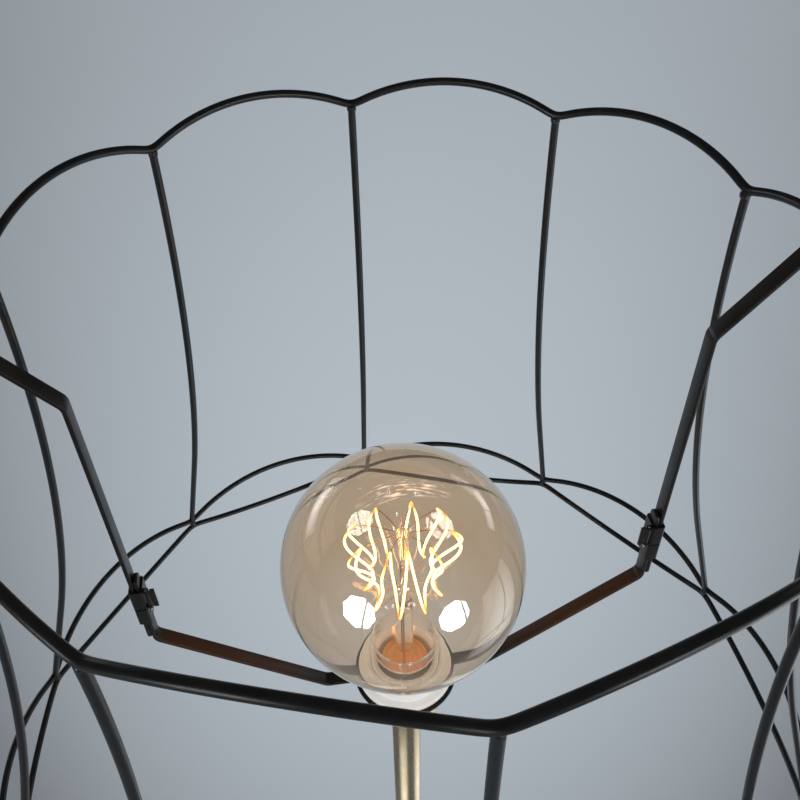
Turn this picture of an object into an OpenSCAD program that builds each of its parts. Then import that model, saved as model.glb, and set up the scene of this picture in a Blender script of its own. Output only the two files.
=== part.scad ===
// Floor lamp with a bare scalloped wire shade on a brass post, round weighted base, large globe bulb.
// Millimetres. The origin is the centre of the base's underside, +Z is up, and the shade carrier lies on X.

/* [Floor base] */
// Outer diameter of the base cover
base_d = 270; // [220:5:340]
// Sheet thickness of the base cover
cover_t = 1.5; // [1:0.1:2.5]
// Radius of the rounded edge of the base cover
cover_edge_r = 9; // [5:0.5:12]
// Height of the cover's lower edge above the floor
cover_lift = 1; // [0.5:0.1:2]
// Thickness of the floor pad
pad_t = 2.5; // [2:0.1:4]
// Thickness of the ballast weight
ballast_t = 18; // [16:0.5:26]
// Diameter of the recess under the ballast weight
recess_d = 44; // [40:1:60]
// Depth of the recess under the ballast weight
recess_depth = 12; // [11:0.5:13]
// Depth of the lead channel under the ballast weight
channel_depth = 8; // [7:0.5:9]
// Width of the lead channel under the ballast weight
channel_w = 8; // [7:0.5:10]
// Length of the terminal block
block_l = 22; // [18:1:26]
// Width of the terminal block
block_w = 18; // [14:1:24]
// Distance of the terminal block from the lamp's axis
block_y = 86; // [70:1:92]
// Flange diameter of the cord bush
bush_d = 11; // [9:0.5:12]
// Bore of the cord bush
bush_bore = 6.5; // [5:0.5:7]

/* [Post] */
// Outer diameter of the post tubes
post_d = 18; // [16:0.5:22]
// Wall of the post tubes
post_wall = 1; // [0.8:0.1:1.5]
// Length of the lower tube
lower_tube_l = 583; // [300:1:700]
// Length of the upper tube
upper_tube_l = 580; // [300:1:700]
// Diameter of the foot collar's flange
foot_d = 46; // [36:1:60]
// Height of the foot collar
foot_h = 14; // [10:0.5:20]
// Thickness of the foot collar's flange
foot_flange_t = 3; // [2:0.5:5]
// Height of the ring between the tubes
joint_ring_h = 5; // [3:0.5:10]
// How far the ring stands proud of the tubes
joint_ring_proud = 1.2; // [0.5:0.1:3]
// Length of the joiner inside each tube
joiner_reach = 28; // [15:1:45]
// Length of the plugs in the tube ends
plug_l = 20; // [14:1:30]
// Diameter of the threaded rods
rod_d = 10; // [9:0.5:11]
// Bore of the threaded rods
rod_bore = 7; // [6:0.5:7.5]
// Across-flats size of the rod nuts
nut_af = 17; // [15:0.5:19]
// Thickness of the rod nuts
nut_t = 4; // [3:0.5:5]
// Diameter of the lead inside the post
lead_d = 5; // [4:0.2:5.6]

/* [Lampholder] */
// Outer diameter of the brass cup
cup_d = 43; // [42:0.5:50]
// Height of the brass cup
cup_h = 40; // [36:0.5:60]
// Wall of the brass cup
cup_wall = 1.2; // [0.8:0.1:1.3]
// Corner radius at the foot of the brass cup
cup_corner_r = 14; // [8:0.5:15]
// Wall of the threaded white sleeve
sleeve_wall = 3.6; // [2:0.1:4]
// Height of the sleeve above the shade seat
sleeve_rise = 13; // [12:0.5:16]
// Depth of the sleeve below the shade seat
sleeve_drop = 24; // [22:0.5:25]
// Diameter of the white retaining ring's flange
collar_d = 56; // [52:0.5:58]
// Thickness of the retaining ring's flange
collar_flange_t = 2.8; // [2:0.1:4]
// Diameter of the retaining ring's hub
collar_hub_d = 46; // [45:0.5:50]
// Height of the retaining ring
collar_h = 9; // [7:0.5:10]

/* [Shade frame] */
// Number of panels, always even so that the hangers face each other
panels = 10; // [8:2:14]
// Wire diameter
wire_d = 4; // [3:0.2:5]
// Radius from the axis to a top vertex
top_r = 171.7; // [150:0.1:200]
// Radius from the axis to a bottom vertex
bottom_r = 247; // [210:0.5:280]
// Height between the top and the bottom vertices
frame_h = 351; // [300:1:420]
// Length of the straight lower part of a rib
rib_straight = 95; // [20:1:140]
// Outward bulge of a top scallop
top_out = 7.4; // [4:0.1:12]
// Rise of a top scallop
top_up = 12.5; // [6:0.1:18]
// Outward bulge of an upper bottom scallop
upper_out = 15; // [8:0.1:22]
// Rise of an upper bottom scallop
upper_up = 14; // [6:0.1:22]
// Outward bulge of a lower bottom scallop
lower_out = 13; // [8:0.1:22]
// Drop of a lower bottom scallop
lower_down = 19; // [8:0.1:26]
// Diameter of the weld beads
bead_d = 6; // [5.6:0.1:7]
// Height of the top vertices above the shade seat
shade_rise = 271; // [255:1:290]

/* [Shade carrier] */
// Width of the flat strips
strip_w = 8; // [7:0.5:12]
// Thickness of the flat strips
strip_t = 2; // [1.5:0.1:2.5]
// Centre-line bend radius of the strips
bend_r = 6; // [4:0.5:8]
// Radius from the axis to the middle of a hanger's upright leg
leg_r = 133; // [115:0.5:145]
// Depth of a hanger's bend below the top vertices
hanger_drop = 35; // [25:1:50]
// Height of a hanger's lower end above the shade seat
hanger_end = 71.5; // [60:0.5:76]
// Outer diameter of the carrier ring
carrier_ring_d = 60; // [58:0.5:64]
// Radius from the axis to the inner bend of a carrier arm
arm_in_r = 46; // [40:0.5:60]
// Height of a carrier arm's outer bend above its inner bend
arm_rise = 69; // [50:1:72]
// Height of the top of a carrier arm's leg above the shade seat
arm_top = 121; // [116:1:130]

/* [Clips] */
// Height of a clip's lower edge above the shade seat
clip_z = 87.5; // [81:0.5:89]
// Height of a clip
clip_h = 26; // [22:0.5:28]
// Sheet thickness of a clip
clip_t = 1; // [0.8:0.1:1.2]
// Outer radius of a clip's upright corners
clip_corner_r = 1.2; // [1:0.1:1.4]
// Height of a lever's barrel
lever_h = 10.5; // [8:0.5:12]
// Reach of a lever from its pin
lever_l = 4; // [3.4:0.1:7]
// Thickness of a lever's wing
wing_t = 1.2; // [1:0.1:1.4]
// Diameter of a lever's barrel
barrel_d = 2.8; // [2.6:0.1:3.4]
// Diameter of a lever's pin
pin_d = 1.4; // [1.2:0.1:1.5]
// Thickness of a clip's ears
ear_t = 1.2; // [1:0.1:1.5]
// Head diameter of a clip rivet
rivet_d = 3.6; // [3:0.1:4]

/* [Bulb] */
// Diameter of the globe
globe_d = 125; // [110:1:130]
// Wall of the globe
glass_t = 0.8; // [0.6:0.1:1.2]
// Height of the globe's centre above the shade seat
globe_rise = 102.5; // [98:0.5:110]
// Radius of the neck
neck_r = 18; // [16.5:0.5:20]
// Radius of the blend between globe and neck
neck_blend_r = 12; // [8:0.5:16]
// Radius of the screw cap
cap_r = 13.2; // [12.8:0.1:13.4]
// Height of the cap's upper edge above the shade seat
cap_top = 14; // [13.5:0.5:15]
// Length of the cap's metal shell
cap_l = 22; // [20:0.5:23]
// Number of filament hairpins
hairpins = 9; // [5:1:9]
// Diameter of the filament
filament_d = 1.6; // [0.8:0.1:1.8]
// Radius of the filament cage at its top
cage_top_r = 24; // [20:0.5:28]
// Radius of the filament cage at its foot
cage_foot_r = 21; // [18:0.5:24]
// Height of the cage's top above the globe's centre
cage_top = 28; // [22:0.5:32]
// Depth of the cage's foot below the globe's centre
cage_foot = 17; // [14:0.5:22]
// How far the left and right strands swing in near the foot and out near the top
strand_sway = 6.5; // [0:0.5:7]
// How far the strands in front lean inwards at the top
lean_front = 14; // [0:0.5:15]
// How far the strands behind lean inwards at the top
lean_behind = 6; // [0:0.5:15]
// Angle that the filament's open side is turned from the back
filament_turn = 6; // [-12:1:12]

/* [Clearances] */
// Gap between pieces that move past each other
slide_gap = 0.3; // [0.2:0.05:0.4]
// Gap between pieces that are fixed together
seat_gap = 0.1; // [0.05:0.05:0.15]
// Radial running clearance of a lever on its pin
pin_gap = 0.05; // [0.02:0.01:0.1]

/* [Hidden] */
$fn = 64;
tiny = 0.01;

// Base heights
ballast_z = pad_t;
cover_top_z = ballast_z + ballast_t + seat_gap + cover_t;
ballast_top_z = ballast_z + ballast_t;
recess_z = ballast_z + recess_depth;
washer_t = 1.5;
nut_z = recess_z - washer_t - nut_t;
lead_z = pad_t + seat_gap + lead_d / 2;
lead_bend_r = 6;
bush_z = ballast_z + channel_depth / 2 + 1;
bush_body_d = bush_d - 3;
bush_flange_t = 1.6;
block_h = channel_depth - 2;

// Post heights
joint_z = cover_top_z + lower_tube_l;
upper_tube_z = joint_z + joint_ring_h;
post_top_z = upper_tube_z + upper_tube_l;
post_bore_d = post_d - 2 * post_wall;
plug_d = post_bore_d - 2 * seat_gap;
joiner_bore = lead_d + 2;

// Lampholder heights: the shade seat is the face that the carrier ring lies on
cup_top_z = post_top_z + cup_h;
seat_z = cup_top_z + slide_gap;
sleeve_r = cup_d / 2 - cup_wall - slide_gap;
sleeve_z = seat_z - sleeve_drop;
core_flange_t = 3;
core_plug_h = 7;
core_z = sleeve_z - core_flange_t;
core_top_z = sleeve_z + core_plug_h;
core_plug_r = sleeve_r - sleeve_wall - seat_gap;
shell_t = 0.5;
shell_gap = 0.5;
shell_r = cap_r + shell_gap + shell_t;
shell_top_z = seat_z + 9;
collar_z = seat_z + strip_t + slide_gap;
collar_bore_r = sleeve_r + slide_gap;

// Shade
top_z = seat_z + shade_rise;
bottom_z = top_z - frame_h;
panel_angle = 360 / panels;
wire_r = wire_d / 2;
bead_r = bead_d / 2;
ring_stack = bead_r + wire_r - 0.8;
bead_trim = 1.8;

// Carrier
ring_mid_z = seat_z + strip_t / 2;
arm_leg_r = leg_r - strip_t - slide_gap;
arm_out_z = ring_mid_z + arm_rise;
arm_slope = atan2(arm_rise, arm_leg_r - arm_in_r);
scallop_mid_r = top_r * cos(panel_angle / 2) + top_out;
hanger_bend_z = top_z - hanger_drop;
hanger_slope = atan2(hanger_drop + top_up, scallop_mid_r - leg_r);

// Clips
clip_inner_r = arm_leg_r - strip_t / 2;
clip_outer_r = leg_r + strip_t / 2 + slide_gap;
clip_face_r = clip_inner_r - clip_t;
clip_half_w = strip_w / 2 + slide_gap;
clip_low_z = seat_z + clip_z;
clip_top_z = clip_low_z + clip_h;
clip_side_y = clip_half_w + clip_t;
pin_r_at = clip_face_r - slide_gap - barrel_d / 2;
pin_front = clip_side_y - slide_gap - barrel_d / 2;
lever_top_z = clip_top_z - ear_t - slide_gap;
lever_z = lever_top_z - lever_h;
wing_z = lever_z - slide_gap - ear_t;
slit_h = 0.8;
slit_z = wing_z - slit_h;
rivet_z = (clip_low_z + slit_z) / 2;

// Bulb
globe_r = globe_d / 2;
globe_z = seat_z + globe_rise;
neck_blend_z = globe_z - sqrt(pow(globe_r + neck_blend_r, 2) - pow(neck_r + neck_blend_r, 2));
neck_foot_r = cap_r - 0.9;
neck_foot_z = seat_z + cap_top + 1.5;
neck_taper_z = neck_foot_z + 8;
cap_top_z = seat_z + cap_top;
cap_foot_z = cap_top_z - cap_l;
glass_foot_z = cap_top_z - 5;
contact_z = cap_foot_z - 5;
stem_foot_r = neck_foot_r - glass_t;
stem_tube_r = 5;
stem_wall = 1;
press_z = globe_z - cage_foot - 14;
stem_rod_r = 1.8;
button_r = 3.2;
button_z = globe_z + cage_top - 2;
hub_z = globe_z - cage_foot - 3;
wire_support_r = 0.3;

// Base

// Half outline of the base, drawn inwards by inset from the outside of the cover
module base_outline(inset) {
    r = base_d / 2 - inset;
    h = cover_top_z - inset;
    corner = cover_edge_r - inset;
    square([r - corner, h]);
    square([r, h - corner]);
    translate([r - corner, h - corner]) circle(r = corner);
}

// The pad stops short of the inner flange of the cord bush
module floor_pad() {
    inset = cover_t + 2 * bush_flange_t;
    color("dimgray") difference() {
        cylinder(r = base_d / 2 - inset, h = pad_t, $fn = 128);
        translate([0, 0, -1]) cylinder(d = recess_d, h = pad_t + 2);
    }
}

// Slot from the middle of the base to the rear, as wide as w and from z upwards by h
module rear_slot(w, z, h, from_y, to_y) {
    translate([-w / 2, from_y, z]) cube([w, to_y - from_y, h]);
}

module ballast_weight() {
    inset = cover_t + seat_gap;
    color("slategray") difference() {
        rotate_extrude($fn = 128) intersection() {
            base_outline(inset);
            translate([rod_d / 2 + slide_gap, ballast_z]) square([base_d, ballast_t]);
        }
        translate([0, 0, ballast_z - 1]) cylinder(d = recess_d, h = recess_depth + 1);
        rear_slot(channel_w, ballast_z - 1, channel_depth + 1, 0, base_d);
        rear_slot(block_w + 2 * slide_gap, ballast_z - 1, channel_depth + 1, block_y - slide_gap,
            block_y + block_l + slide_gap);
        translate([0, base_d / 2 - cover_t - 8, bush_z]) rotate([-90, 0, 0])
            cylinder(d = bush_d + 2 * slide_gap, h = 20);
    }
}

module base_cover() {
    color("darkgoldenrod") difference() {
        rotate_extrude($fn = 128) difference() {
            intersection() {
                base_outline(0);
                translate([rod_d / 2 + slide_gap, cover_lift]) square([base_d, cover_top_z]);
            }
            base_outline(cover_t);
        }
        translate([0, base_d / 2 - 10, bush_z]) rotate([-90, 0, 0])
            cylinder(d = bush_body_d + 2 * seat_gap, h = 20);
    }
}

module base_washer() {
    color("silver") translate([0, 0, recess_z - washer_t]) difference() {
        cylinder(d = 28, h = washer_t);
        translate([0, 0, -1]) cylinder(d = rod_d + 2 * slide_gap, h = washer_t + 2);
    }
}

module rod_nut() {
    difference() {
        cylinder(d = nut_af / cos(30), h = nut_t, $fn = 6);
        translate([0, 0, -1]) cylinder(d = rod_d + 2 * seat_gap, h = nut_t + 2);
    }
}

module base_nut() {
    color("silver") translate([0, 0, nut_z]) rod_nut();
}

// Bush of the mains cord, with a flange on each side of the cover
module cord_bush() {
    outer_y = base_d / 2 + seat_gap;
    inner_y = base_d / 2 - cover_t - 2 * seat_gap;
    color("black") difference() {
        translate([0, 0, bush_z]) rotate([-90, 0, 0]) {
            translate([0, 0, inner_y - bush_flange_t]) cylinder(d = bush_d, h = bush_flange_t);
            translate([0, 0, inner_y - tiny]) cylinder(d = bush_body_d, h = outer_y - inner_y + 2 * tiny);
            translate([0, 0, outer_y]) cylinder(d = bush_d, h = bush_flange_t);
        }
        translate([0, 0, bush_z]) rotate([-90, 0, 0]) translate([0, 0, inner_y - 5])
            cylinder(d = bush_bore, h = 20);
    }
}

module terminal_block() {
    screw_d = 4;
    color("white") difference() {
        translate([-block_w / 2, block_y, pad_t + seat_gap]) cube([block_w, block_l, block_h]);
        for (x = [-block_w / 4, block_w / 4], y = [0.25, 0.75])
            translate([x, block_y + y * block_l, pad_t + 2]) cylinder(d = screw_d, h = block_h);
    }
}

// Post

module threaded_rod(z, h) {
    color("goldenrod") translate([0, 0, z]) difference() {
        cylinder(d = rod_d, h = h);
        translate([0, 0, -1]) cylinder(d = rod_bore, h = h + 2);
    }
}

foot_rod_z = nut_z + 0.5;
foot_rod_top_z = cover_top_z + plug_l;
module foot_rod() {
    threaded_rod(foot_rod_z, foot_rod_top_z - foot_rod_z);
}

module tube_plug(z) {
    translate([0, 0, z]) difference() {
        cylinder(d = plug_d, h = plug_l);
        translate([0, 0, -1]) cylinder(d = rod_d + 2 * seat_gap, h = plug_l + 2);
    }
}

module foot_plug() {
    color("goldenrod") tube_plug(cover_top_z + seat_gap);
}

// Turned collar that hides the joint of post and base
module foot_collar() {
    neck_d = post_d + 6;
    bore_r = post_d / 2 + seat_gap;
    cove_r = (foot_d - neck_d) / 2;
    cove_h = foot_h - foot_flange_t;
    blend = min(cove_r, cove_h) - 1;
    color("darkgoldenrod") translate([0, 0, cover_top_z + seat_gap]) rotate_extrude($fn = 96) difference() {
        union() {
            translate([bore_r, 0]) square([foot_d / 2 - bore_r, foot_flange_t]);
            translate([bore_r, 0]) square([neck_d / 2 - bore_r, foot_h]);
            translate([bore_r, 0]) square([neck_d / 2 + blend - bore_r, foot_flange_t + blend]);
        }
        translate([neck_d / 2 + blend, foot_flange_t + blend]) circle(r = blend);
    }
}

module post_tube(z, l) {
    color("darkgoldenrod") translate([0, 0, z]) difference() {
        cylinder(d = post_d, h = l);
        translate([0, 0, -1]) cylinder(d = post_bore_d, h = l + 2);
    }
}

module lower_post_tube() {
    post_tube(cover_top_z + seat_gap, lower_tube_l - 2 * seat_gap);
}

module upper_post_tube() {
    post_tube(upper_tube_z + seat_gap, upper_tube_l - seat_gap);
}

module post_joiner() {
    l = 2 * joiner_reach + joint_ring_h;
    color("goldenrod") translate([0, 0, joint_z - joiner_reach]) difference() {
        cylinder(d = plug_d, h = l);
        translate([0, 0, -1]) cylinder(d = joiner_bore, h = l + 2);
    }
}

module post_joint_ring() {
    bore_r = plug_d / 2 + seat_gap;
    outer_r = post_d / 2 + joint_ring_proud;
    color("darkgoldenrod") translate([0, 0, joint_z]) rotate_extrude() {
        translate([bore_r, 0]) square([outer_r - bore_r - joint_ring_proud, joint_ring_h]);
        translate([bore_r, joint_ring_h * 0.15]) square([outer_r - bore_r, joint_ring_h * 0.7]);
    }
}

module head_plug() {
    color("goldenrod") tube_plug(post_top_z - plug_l - seat_gap);
}

head_rod_z = post_top_z - plug_l;
module head_rod() {
    threaded_rod(head_rod_z, core_z - head_rod_z);
}

// Lead from the terminal block along the channel, up the post and into the lampholder
module inner_lead() {
    color("ivory") {
        translate([0, lead_bend_r, lead_z]) rotate([-90, 0, 0]) cylinder(d = lead_d, h = block_y - lead_bend_r);
        translate([0, lead_bend_r, lead_z + lead_bend_r]) rotate([0, -90, 0]) rotate([0, 0, 180])
            rotate_extrude(angle = 90) translate([lead_bend_r, 0]) circle(d = lead_d);
        translate([0, 0, lead_z + lead_bend_r]) cylinder(d = lead_d, h = core_z + 1.5 - lead_z - lead_bend_r);
    }
}

// Lampholder

// Half outline of the brass cup, drawn inwards by inset
module cup_outline(inset) {
    r = cup_d / 2 - inset;
    corner = cup_corner_r - inset;
    translate([0, inset + corner]) square([r, cup_h - corner]);
    translate([0, inset]) square([r - corner, corner]);
    translate([r - corner, inset + corner]) circle(r = corner);
}

module holder_cup() {
    color("darkgoldenrod") translate([0, 0, post_top_z]) rotate_extrude($fn = 96) difference() {
        intersection() {
            cup_outline(0);
            translate([rod_d / 2 + seat_gap, 0]) square([cup_d, cup_h]);
        }
        cup_outline(cup_wall);
    }
}

module cup_nut() {
    color("silver") translate([0, 0, post_top_z + cup_wall + seat_gap]) rod_nut();
}

screw_at = core_plug_r - 5.2;
core_screw_d = 3;
module holder_core() {
    color("white") difference() {
        union() {
            translate([0, 0, core_z]) cylinder(r = sleeve_r - 0.5, h = core_flange_t - seat_gap);
            translate([0, 0, core_z]) cylinder(r = core_plug_r, h = core_top_z - core_z);
        }
        translate([0, 0, core_z - 1]) cylinder(d = lead_d + 2 * seat_gap, h = 3);
        for (side = [-1, 1]) translate([side * screw_at, 0, core_z + 4])
            cylinder(d = core_screw_d + 2 * seat_gap, h = core_plug_h + 4);
    }
}

module terminal_screws() {
    head_h = 1.5;
    slot_w = 0.8;
    color("silver") for (side = [-1, 1]) translate([side * screw_at, 0, 0]) difference() {
        union() {
            translate([0, 0, core_z + 4.5]) cylinder(d = core_screw_d, h = core_top_z + seat_gap - core_z - 4.4);
            translate([0, 0, core_top_z + seat_gap]) cylinder(d = core_screw_d + 2, h = head_h);
        }
        translate([-5, -slot_w / 2, core_top_z + head_h - 0.6]) cube([10, slot_w, 2]);
    }
}

// Sprung tongue under the bulb's tip
module centre_contact() {
    tongue_w = 5;
    tongue_t = 0.6;
    rise = contact_z - slide_gap - core_top_z - 2 * seat_gap;
    foot_l = 5;
    color("goldenrod") translate([0, tongue_w / 2, core_top_z + seat_gap]) rotate([90, 0, 0])
        linear_extrude(height = tongue_w) polygon([
            [-foot_l, 0], [foot_l / 2, 0], [foot_l / 2, tongue_t], [-foot_l + 2, tongue_t],
            [-foot_l / 2 + 1, rise - tongue_t], [foot_l / 2, rise - tongue_t], [foot_l / 2, rise],
            [-foot_l / 2 + 0.5, rise], [-foot_l, tongue_t + 0.5]
        ]);
}

// Half profile of a coarse round thread: rows of arcs standing out of a plain wall
thread_pitch = 3.6;
module thread_arcs(r, z, h, deep) {
    rows = floor(h / thread_pitch);
    arc_r = (pow(thread_pitch / 2, 2) + pow(deep, 2)) / (2 * deep);
    for (row = [0 : rows - 1]) translate([r + deep - arc_r, z + (row + 0.5) * thread_pitch]) circle(r = arc_r);
}

thread_deep = 0.9;
module screw_shell() {
    h = shell_top_z - core_top_z - seat_gap;
    color("goldenrod") translate([0, 0, core_top_z + seat_gap]) difference() {
        cylinder(r = shell_r, h = h);
        translate([0, 0, -1]) cylinder(r = shell_r - shell_t, h = h + 2);
    }
}

module holder_sleeve() {
    h = sleeve_drop + sleeve_rise;
    color("white") translate([0, 0, sleeve_z]) difference() {
        cylinder(r = sleeve_r, h = h);
        translate([0, 0, -1]) cylinder(r = sleeve_r - sleeve_wall, h = h + 2);
    }
}

module retaining_ring() {
    edge = 1;
    r = collar_d / 2;
    hub_r = collar_hub_d / 2;
    color("white") translate([0, 0, collar_z]) rotate_extrude($fn = 96) difference() {
        union() {
            translate([collar_bore_r, 0]) square([r - edge - collar_bore_r, collar_flange_t]);
            translate([collar_bore_r, 0]) square([r - collar_bore_r, collar_flange_t - edge]);
            translate([r - edge, collar_flange_t - edge]) circle(r = edge);
            translate([collar_bore_r, 0]) square([hub_r - edge - collar_bore_r, collar_h]);
            translate([collar_bore_r, 0]) square([hub_r - collar_bore_r, collar_h - edge]);
            translate([hub_r - edge, collar_h - edge]) circle(r = edge);
        }
        translate([0, -5]) square([collar_bore_r, collar_h + 10]);
    }
}

// Shade carrier

// Centre line of a bent strip that starts along heading h: each run is a length and the turn after it.
// Each sample is a point and its heading, and a bend has a sample for each of its steps.
bend_steps = 8;
function strip_samples(runs, i = 0, p = [0, 0], h = 0) = i == len(runs) ? [] : let (
    turn = runs[i][1],
    q = p + runs[i][0] * [cos(h), sin(h)],
    centre = q + sign(turn) * bend_r * [-sin(h), cos(h)],
    steps = turn == 0 ? 0 : bend_steps,
    bend = [for (k = [1 : 1 : steps]) let (a = h + turn * k / steps)
        [centre + sign(turn) * bend_r * [sin(a), -cos(a)], a]]
) concat(i == 0 ? [[p, h]] : [], [[q, h]], bend,
    strip_samples(runs, i + 1, steps == 0 ? q : bend[steps - 1][0], h + turn));

// Bent strip drawn in the XY plane
module bent_strip(runs, h) {
    samples = strip_samples(runs, h = h);
    n = len(samples);
    side = strip_t / 2;
    translate([0, 0, -strip_w / 2]) linear_extrude(height = strip_w) polygon(concat(
        [for (k = [0 : n - 1]) samples[k][0] + side * [-sin(samples[k][1]), cos(samples[k][1])]],
        [for (k = [n - 1 : -1 : 0]) samples[k][0] - side * [-sin(samples[k][1]), cos(samples[k][1])]]
    ));
}

// Bent strip that stands upright in the carrier's plane and starts at radius r and height z
module strip_at(r, z, h, runs) {
    translate([r, 0, z]) rotate([90, 0, 0]) bent_strip(runs, h);
}

function bend_cut(turn) = bend_r * tan(abs(turn) / 2);

module carrier_ring() {
    color("black") translate([0, 0, seat_z]) difference() {
        cylinder(d = carrier_ring_d, h = strip_t, $fn = 96);
        translate([0, 0, -1]) cylinder(r = collar_bore_r, h = strip_t + 2, $fn = 96);
    }
}

arm_start_r = carrier_ring_d / 2 - 1;
arm_slope_l = norm([arm_leg_r - arm_in_r, arm_rise]);
module carrier_arm() {
    color("black") difference() {
        strip_at(arm_start_r, ring_mid_z, 0, [
            [arm_in_r - arm_start_r - bend_cut(arm_slope), arm_slope],
            [arm_slope_l - bend_cut(arm_slope) - bend_cut(90 - arm_slope), 90 - arm_slope],
            [seat_z + arm_top - arm_out_z - bend_cut(90 - arm_slope), 0]
        ]);
        translate([0, 0, seat_z - 1]) cylinder(d = carrier_ring_d, h = strip_t + 2, $fn = 96);
        translate([clip_face_r - 5, 0, rivet_z]) rotate([0, 90, 0]) cylinder(d = rivet_shank_d, h = 20);
    }
}

hanger_slope_l = norm([scallop_mid_r - leg_r, hanger_drop + top_up]);
module hanger() {
    color("black") difference() {
        strip_at(scallop_mid_r, top_z + top_up, 180 + hanger_slope, [
            [hanger_slope_l - bend_cut(90 - hanger_slope), 90 - hanger_slope],
            [hanger_bend_z - bend_cut(90 - hanger_slope) - seat_z - hanger_end, 0]
        ]);
        wire_scallop(top_r, top_z, top_out, top_up, wire_r);
    }
}

// Clips: the pins of both levers stand in front of the strips, and side is 1 on the left and -1 on the right

rivet_shank_d = 2;
module clip_outline() {
    deep = clip_outer_r + clip_t - clip_face_r;
    wide = 2 * clip_side_y;
    r = clip_corner_r;
    translate([clip_face_r, -clip_side_y]) {
        translate([r, 0]) square([deep - 2 * r, wide]);
        translate([0, r]) square([deep, wide - 2 * r]);
        for (x = [r, deep - r], y = [r, wide - r]) translate([x, y]) circle(r = r);
    }
}

module clip(side) {
    ear_l = clip_face_r - pin_r_at;
    color("black") difference() {
        union() {
            translate([0, 0, clip_low_z]) linear_extrude(height = clip_h) clip_outline();
            for (z = [wing_z, lever_top_z + slide_gap]) translate([pin_r_at, side * pin_front, z]) {
                translate([0, -barrel_d / 2, 0]) cube([ear_l + clip_t / 2, barrel_d, ear_t]);
                cylinder(d = barrel_d, h = ear_t);
            }
        }
        translate([clip_inner_r, -clip_half_w, clip_low_z - 1])
            cube([clip_outer_r - clip_inner_r, 2 * clip_half_w, clip_h + 2]);
        translate([clip_face_r - 1, -clip_side_y - 1, slit_z])
            cube([clip_outer_r - clip_face_r + 1, 2 * clip_side_y + 2, slit_h]);
        translate([pin_r_at, side * pin_front, clip_low_z - 5]) cylinder(d = pin_d, h = clip_h + 10);
        translate([clip_face_r - 5, 0, rivet_z]) rotate([0, 90, 0])
            cylinder(d = rivet_shank_d, h = 5 + clip_t + tiny);
    }
}

// Rivet that holds a clip on a carrier arm
module clip_rivet() {
    head_h = 1;
    dome_r = (pow(rivet_d / 2, 2) + pow(head_h, 2)) / (2 * head_h);
    color("dimgray") translate([clip_face_r, 0, rivet_z]) rotate([0, -90, 0]) rotate_extrude() {
        translate([0, -clip_t - strip_t]) square([rivet_shank_d / 2, clip_t + strip_t + tiny]);
        intersection() {
            translate([0, head_h - dome_r]) circle(r = dome_r);
            square([rivet_d, rivet_d]);
        }
    }
}

module lever_pin(side) {
    over = 0.6;
    low_z = wing_z - over;
    high_z = clip_top_z + over;
    color("dimgray") translate([pin_r_at, side * pin_front, low_z]) cylinder(d = pin_d, h = high_z - low_z);
}

// A lever's barrel turns between the ears, and its wing is as high as the clip above the slit
module lever(side) {
    wing_from = barrel_d / 2 + slide_gap;
    color("black") translate([pin_r_at, side * pin_front, 0]) difference() {
        union() {
            translate([0, 0, lever_z]) cylinder(d = barrel_d, h = lever_h);
            translate([-lever_l, -wing_t / 2, lever_z]) cube([lever_l, wing_t, lever_h]);
            translate([-lever_l, -wing_t / 2, wing_z])
                cube([lever_l - wing_from, wing_t, clip_top_z - wing_z]);
        }
        translate([0, 0, lever_z - 1]) cylinder(d = pin_d + 2 * pin_gap, h = lever_h + 2);
    }
}

// Shade frame

function arc_radius(half_chord, sag) = (half_chord * half_chord + sag * sag) / (2 * sag);

// One scallop of wire over the panel that faces +X, trimmed near its vertices by the beads' trim
module wire_scallop(r, z, out, up, thick_r, trim = 0) {
    half_chord = r * sin(panel_angle / 2);
    sag = norm([out, up]);
    arc_r = arc_radius(half_chord, sag);
    half_sweep = asin(half_chord / arc_r) - trim / arc_r * 180 / PI;
    translate([r * cos(panel_angle / 2), 0, z]) rotate([0, -atan2(up, out), 0]) translate([sag - arc_r, 0, 0])
        rotate_extrude(angle = 2 * half_sweep, start = -half_sweep) translate([arc_r, 0])
            circle(r = thick_r, $fn = 24);
}

module vertex_beads(r, z, d) {
    for (k = [0 : panels - 1]) rotate([0, 0, (k + 0.5) * panel_angle]) translate([r, 0, z])
        sphere(d = d, $fn = 32);
}

module scallop_ring(r, z, out, up, d) {
    for (k = [0 : panels - 1]) rotate([0, 0, k * panel_angle]) wire_scallop(r, z, out, up, wire_r, bead_trim);
    vertex_beads(r, z, d);
}

module top_ring() {
    color("black") scallop_ring(top_r, top_z, top_out, top_up, bead_d);
}

module upper_bottom_ring() {
    color("black") scallop_ring(bottom_r, bottom_z, upper_out, upper_up, bead_d);
}

module lower_bottom_ring() {
    color("black") difference() {
        scallop_ring(bottom_r, bottom_z - ring_stack, lower_out, -lower_down, bead_d - 0.4);
        vertex_beads(bottom_r, bottom_z, bead_d);
    }
}

// Rib from a top vertex to the bottom vertex below it: it starts upright, flares in an arc and ends straight
rib_flare = 2 * atan((bottom_r - top_r) / (frame_h + rib_straight));
rib_arc_r = (frame_h - rib_straight * cos(rib_flare)) / sin(rib_flare);
module rib(k) {
    color("black") rotate([0, 0, (k - 0.5) * panel_angle]) difference() {
        translate([bottom_r - rib_straight * sin(rib_flare), 0, bottom_z + rib_straight * cos(rib_flare)])
            rotate([0, -rib_flare, 0]) {
                translate([0, 0, -rib_straight]) cylinder(r = wire_r, h = rib_straight, $fn = 24);
                translate([rib_arc_r, 0, 0]) rotate([90, 0, 0])
                    rotate_extrude(angle = rib_flare, start = 180 - rib_flare) translate([rib_arc_r, 0])
                        circle(r = wire_r, $fn = 24);
            }
        translate([top_r, 0, top_z]) sphere(d = bead_d, $fn = 32);
        translate([bottom_r, 0, bottom_z]) sphere(d = bead_d, $fn = 32);
    }
}

// Bulb

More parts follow.
